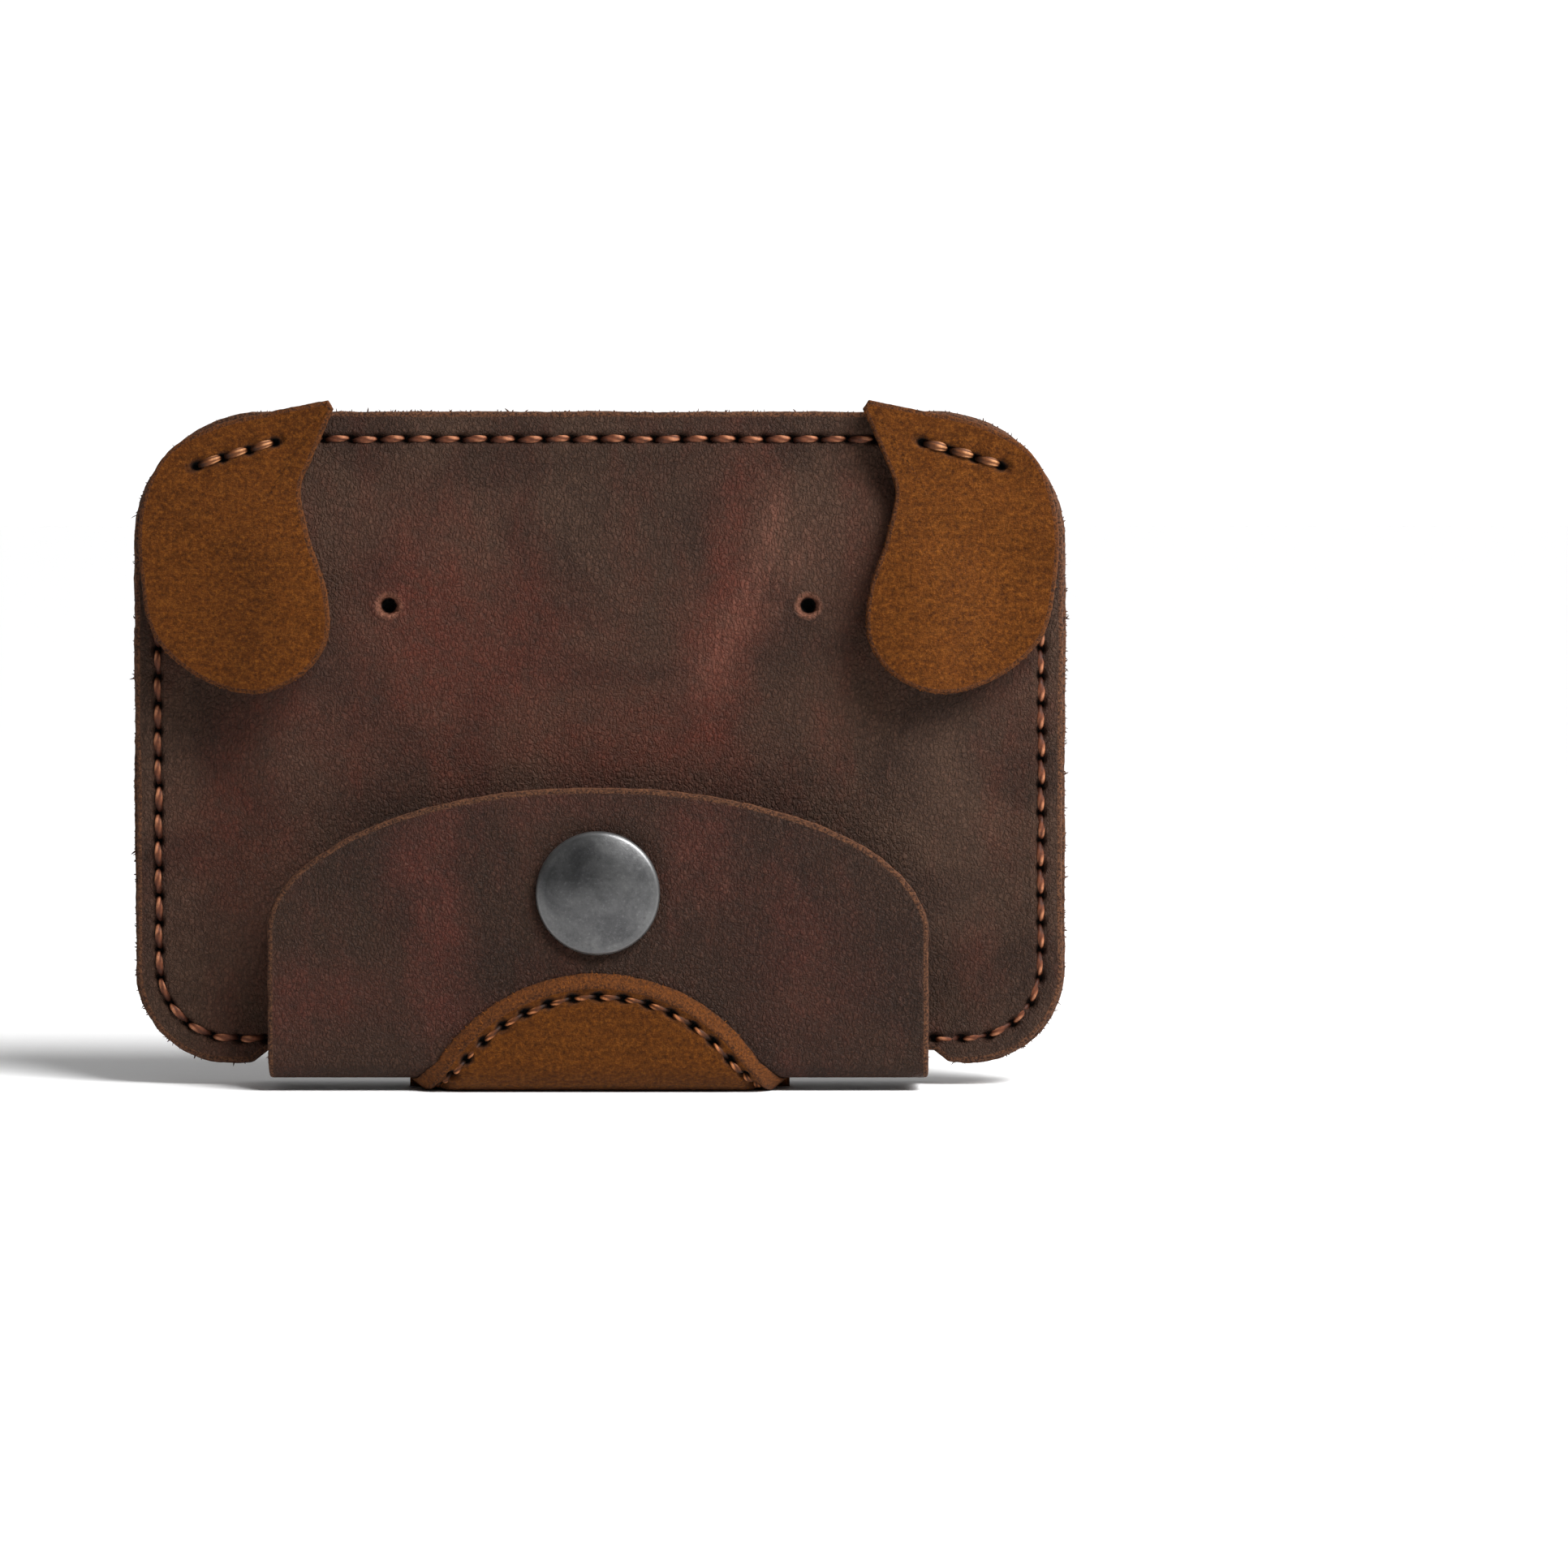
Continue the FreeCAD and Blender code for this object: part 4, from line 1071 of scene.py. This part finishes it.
# ---- snap
def lathe(name, at, profile, material, around=128, rough=0.0, seed=1):
    """Solid of revolution about the snap's axis. profile is (radius, y from at, wear), from the axis round
    to the axis."""
    profile = np.array(profile, float)
    profile[:, 1] += at
    phi = np.linspace(0, 2 * math.pi, around, endpoint=False)
    body = profile[1:-1]
    radius = body[:, 0, None] * np.ones(around)
    y = body[:, 1, None] * np.ones(around)
    x, z = radius * np.cos(phi), radius * np.sin(phi)
    if rough:
        dent = noise(np.column_stack([x.ravel(), z.ravel(), y.ravel()]) / 1.6, seed).reshape(x.shape)
        y = y + dent * rough
    verts = np.column_stack([x.ravel(), y.ravel(), z.ravel() + SNAP_Z])
    ends = np.array([[0, profile[0, 1], SNAP_Z], [0, profile[-1, 1], SNAP_Z]])
    m = len(body)
    base = np.arange(m * around).reshape(m, around)
    nxt = np.roll(base, -1, axis=1)
    quads = np.stack([base[:-1], base[1:], nxt[1:], nxt[:-1]], axis=-1).reshape(-1, 4).tolist()
    first, last = m * around, m * around + 1
    fans = [[first, base[0, i], nxt[0, i]] for i in range(around)]
    fans += [[last, nxt[-1, i], base[-1, i]] for i in range(around)]
    faces = quads + [[int(v) for v in f] for f in fans]
    worn = np.concatenate([np.repeat(body[:, 2], around), [profile[0, 2], profile[-1, 2]]])
    return add_mesh(name, np.vstack([verts, ends]), faces, [material], None, {"worn": worn})


def dome(rim_r, rim_y, top_y, n=28):
    """Spherical profile from the rim in to the axis."""
    rise = rim_y - top_y
    r = (rim_r ** 2 + rise ** 2) / (2 * rise)
    rim = math.asin(rim_r / r)
    return [(r * math.sin(a), top_y + r * (1 - math.cos(a)), 0.15 * (a > 0.9 * rim))
            for a in np.linspace(rim, 0, n)]


flap_front, flap_back, panel_y = -FLAP_Y, -(FLAP_Y - HIDE), MID_Y - SWELL - HIDE
cap_seat = HIDE + 0.02          # the cap's shank ends just inside the flap
cap_profile = [(0, cap_seat, 0), (2.0, cap_seat, 0), (2.0, 0.15, 0), (6.5, 0.15, 0), (6.95, 0.10, 0.2),
               (7.10, -0.08, 0.6), (7.15, -0.30, 1.0), (7.13, -0.48, 1.0), (7.02, -0.68, 0.8),
               (6.85, -0.82, 0.4)]
cap = lathe("cap", flap_front, cap_profile + dome(6.7, -0.9, -2.3), cap_metal, rough=0.012, seed=4)
wear(cap, "flap", "cap_metal", "snap_cap")
lip = panel_y - 0.8 - flap_back     # the socket's open end, from the flap's inner face
socket = lathe("socket", flap_back, [
    (0, 0.35, 0), (3.4, 0.35, 0), (3.4, lip - 0.3, 0.3), (3.55, lip - 0.08, 1.0), (3.8, lip, 1.0),
    (5.4, lip, 0.4), (5.8, lip - 0.12, 1.0), (6.0, lip - 0.4, 0.8), (6.0, 0.1, 0.1), (5.9, 0, 0),
    (0, 0, 0)], snap_metal)
wear(socket, "flap", "snap_metal", "snap_socket")
stud = lathe("stud", panel_y, [
    (0, -1.9, 0.5), (1.9, -1.9, 0.7), (2.3, -1.82, 1.0), (2.62, -1.66, 1.0), (2.75, -1.5, 1.0),
    (2.68, -1.3, 0.6), (2.4, -1.1, 0.2), (2.4, -0.55, 0.1), (2.55, -0.45, 0.1), (4.9, -0.45, 0.5),
    (5.2, -0.36, 0.9), (5.4, -0.1, 0.6), (5.4, 0, 0.2), (0, 0, 0)], snap_metal)
wear(stud, "pouch", "snap_metal", "snap_stud")
post_top = 0.05 - HIDE          # the post's upper end, from the panel's inner face
post = lathe("post", MID_Y - SWELL, [
    (0, post_top, 0), (2.0, post_top, 0), (2.0, -0.03, 0), (5.0, -0.03, 0.2), (4.95, 0.2, 0.8),
    (4.6, 0.55, 0.8), (0, 0.55, 0.3)], snap_metal)
wear(post, "pouch", "snap_metal", "snap_post")


# ---- loose fibres on the cut edges
ROOT = 0.10                     # how deep a fibre is rooted in the edge
FIBRE_RINGS = FIBRE_SIDES = 6


def burrs(name, outline, place, thickness, rim, material, count, lengths, widths, seed, keep_out):
    """Small bent, tapering fibres that grow out of the rim of a cut edge."""
    dice = np.random.default_rng(seed)
    normals = outline_normals(outline)
    pick = dice.integers(0, len(outline), count)
    pick = pick[~keep_out(outline[pick])]
    n = len(pick)
    root, out = outline[pick], normals[pick]
    level = dice.uniform(0.12, 0.88, n)
    insets, depths = np.array(sorted(rim, key=lambda row: row[1])).T
    root = root - out * (np.interp(level, depths, insets) + ROOT)[:, None]
    depth = thickness * level
    base = place(*root.T, depth)
    ahead = unit(place(*(root + out * 0.15).T, depth) - base)
    way = unit(ahead + dice.normal(0, 0.45, (n, 3)))
    bend = dice.normal(0, 0.5, (n, 3))
    long = dice.uniform(*lengths, n) * dice.uniform(0.3, 1.0, n)
    wide = dice.uniform(*widths, n)
    t = np.linspace(0, 1, FIBRE_RINGS)
    centre = (base[:, None, :] + (way * (long + ROOT)[:, None])[:, None, :] * t[None, :, None]
              + (bend * long[:, None])[:, None, :] * (t ** 2)[None, :, None])
    tangent = unit(np.gradient(centre, axis=1))
    side = unit(np.cross(tangent, np.array([0.31, 0.84, 0.44])))
    phi = np.linspace(0, 2 * math.pi, FIBRE_SIDES, endpoint=False)
    radius = (wide[:, None] * ((1 - t) ** 0.5 * 0.85 + 0.15)[None, :])[..., None]
    verts = tube_points(centre, side, np.cross(tangent, side), radius, radius, phi)
    return add_mesh(name, verts, tube_faces(n, FIBRE_RINGS, FIBRE_SIDES), [material])


def under_fold(points):
    return (points[:, 1] < MOUTH_BOTTOM + 0.5) & (np.abs(points[:, 0]) < MOUTH_W + 2)


def low_down(limit):
    """Tells which points are nearer than limit to the middle of the bottom."""
    return lambda points: np.abs(points[:, 1]) < limit


def high_up(points):
    return points[:, 1] > 66


HIDE_CUT = (HIDE_SHEET, HIDE_RIM, hide_fibre)
EAR_CUT = (EAR_SHEET, EAR_RIM, tan_fibre)
PATCH_CUT = (TAN_SHEET, PATCH_RIM, tan_fibre)
for name, outline, place, cut, count, lengths, widths, seed, keep_out, body, slot_name in (
        ("back", back_outline, place_back, HIDE_CUT, 900, (0.10, 0.42), (0.05, 0.13), 41, under_fold,
         "pouch", "dark_leather"),
        ("front", front_outline, place_front, HIDE_CUT, 420, (0.08, 0.30), (0.03, 0.09), 42, under_fold,
         "pouch", "dark_leather"),
        ("flap", flap_outline, fold_point, HIDE_CUT, 560, (0.08, 0.28), (0.03, 0.08), 43, low_down(8),
         "flap", "dark_leather"),
        ("ear_left", ear_outlines["left"], ear_place["left"], EAR_CUT, 500, (0.06, 0.22), (0.015, 0.04), 44,
         high_up, "ear_left", "ear_nubuck"),
        ("ear_right", ear_outlines["right"], ear_place["right"], EAR_CUT, 500, (0.06, 0.22), (0.015, 0.04),
         44, high_up, "ear_right", "ear_nubuck"),
        ("patch", patch_outlines["front"], place_patch, PATCH_CUT, 700, (0.08, 0.34), (0.02, 0.05), 46,
         low_down(12.5), "flap", "tan_nubuck"),
        ("patch_back", patch_outlines["back"], place_patch, PATCH_CUT, 500, (0.08, 0.30), (0.02, 0.05), 47,
         low_down(12.5), "pouch", "tan_nubuck")):
    fibres = burrs("fibres_" + name, outline, place, *cut, count, lengths, widths, seed, keep_out)
    wear(fibres, body, slot_name)


# ---- studio
def floor_material():
    m = Surface("floor", roughness=0.7, Specular_IOR_Level=0.2)
    grain = m.noise(m.add("TexCoord", 3), 900.0, 3, 0.6)
    m.set(Base_Color=m.layers((0.955,) * 3, (grain, 0.3, 0.7, 1.0, (0.975,) * 3)),
          Normal=m.bump(grain, 0.1, 0.0001))
    return m.material


bpy.ops.mesh.primitive_plane_add(size=6, location=(0, 0, 0))
floor = bpy.context.object
floor.name = "floor"
floor.data.materials.append(floor_material())


def studio_world():
    """White behind the object, bright from the upper right and dim from the left."""
    world = bpy.data.worlds.new("studio")
    bpy.context.scene.world = world
    world.use_nodes = True
    m = Nodes(world.node_tree)
    split = m.add("SeparateXYZ", 0, None, Vector=m.add("TexCoord", 0)).node
    x, y, z = split.outputs
    lit = m.plus(m.times(x, 0.75), m.times(z, 0.35))
    lit = m.plus(lit, m.times(y, 0.35))
    level = m.range(lit, -0.45, 0.95, 0.02, 0.56)
    behind = m.range(y, 0.72, 0.90)
    strength = m.add("Mix", 0, None, i0=behind, i2=level, i3=1.10)
    background = m.tree.nodes["Background"]
    m.to(strength, background.inputs["Strength"])
    background.inputs["Color"].default_value = (1, 1, 1, 1)


studio_world()
sun = bpy.data.lights.new("key", "SUN")
sun.energy, sun.angle = 2.9, math.radians(22)
key = bpy.data.objects.new("key", sun)
key.rotation_euler = Vector((0.42, -0.44, 0.79)).to_track_quat("Z", "Y").to_euler()
bpy.context.scene.collection.objects.link(key)
side_light = bpy.data.lights.new("side", "AREA")
side_light.size, side_light.energy = 0.14, 0.80
side = bpy.data.objects.new("side", side_light)
side.location = (0.21, -0.12, 0.21)
side.rotation_euler = (side.location - Vector((0, 0, 0.045))).to_track_quat("Z", "Y").to_euler()
bpy.context.scene.collection.objects.link(side)

ELEVATION, DISTANCE = math.radians(3.5), 0.75
target = Vector((21.4 * MM, -HALF_BUNDLE * MM, 35.6 * MM / math.cos(ELEVATION)))
camera = bpy.data.cameras.new("camera")
camera.sensor_width, camera.lens = 36, 150.2
eye = bpy.data.objects.new("camera", camera)
eye.location = target + DISTANCE * Vector((0, -math.cos(ELEVATION), math.sin(ELEVATION)))
eye.rotation_euler = (math.pi / 2 - ELEVATION, 0, 0)
bpy.context.scene.collection.objects.link(eye)
bpy.context.scene.camera = eye
bpy.context.scene.view_settings.view_transform = "Standard"
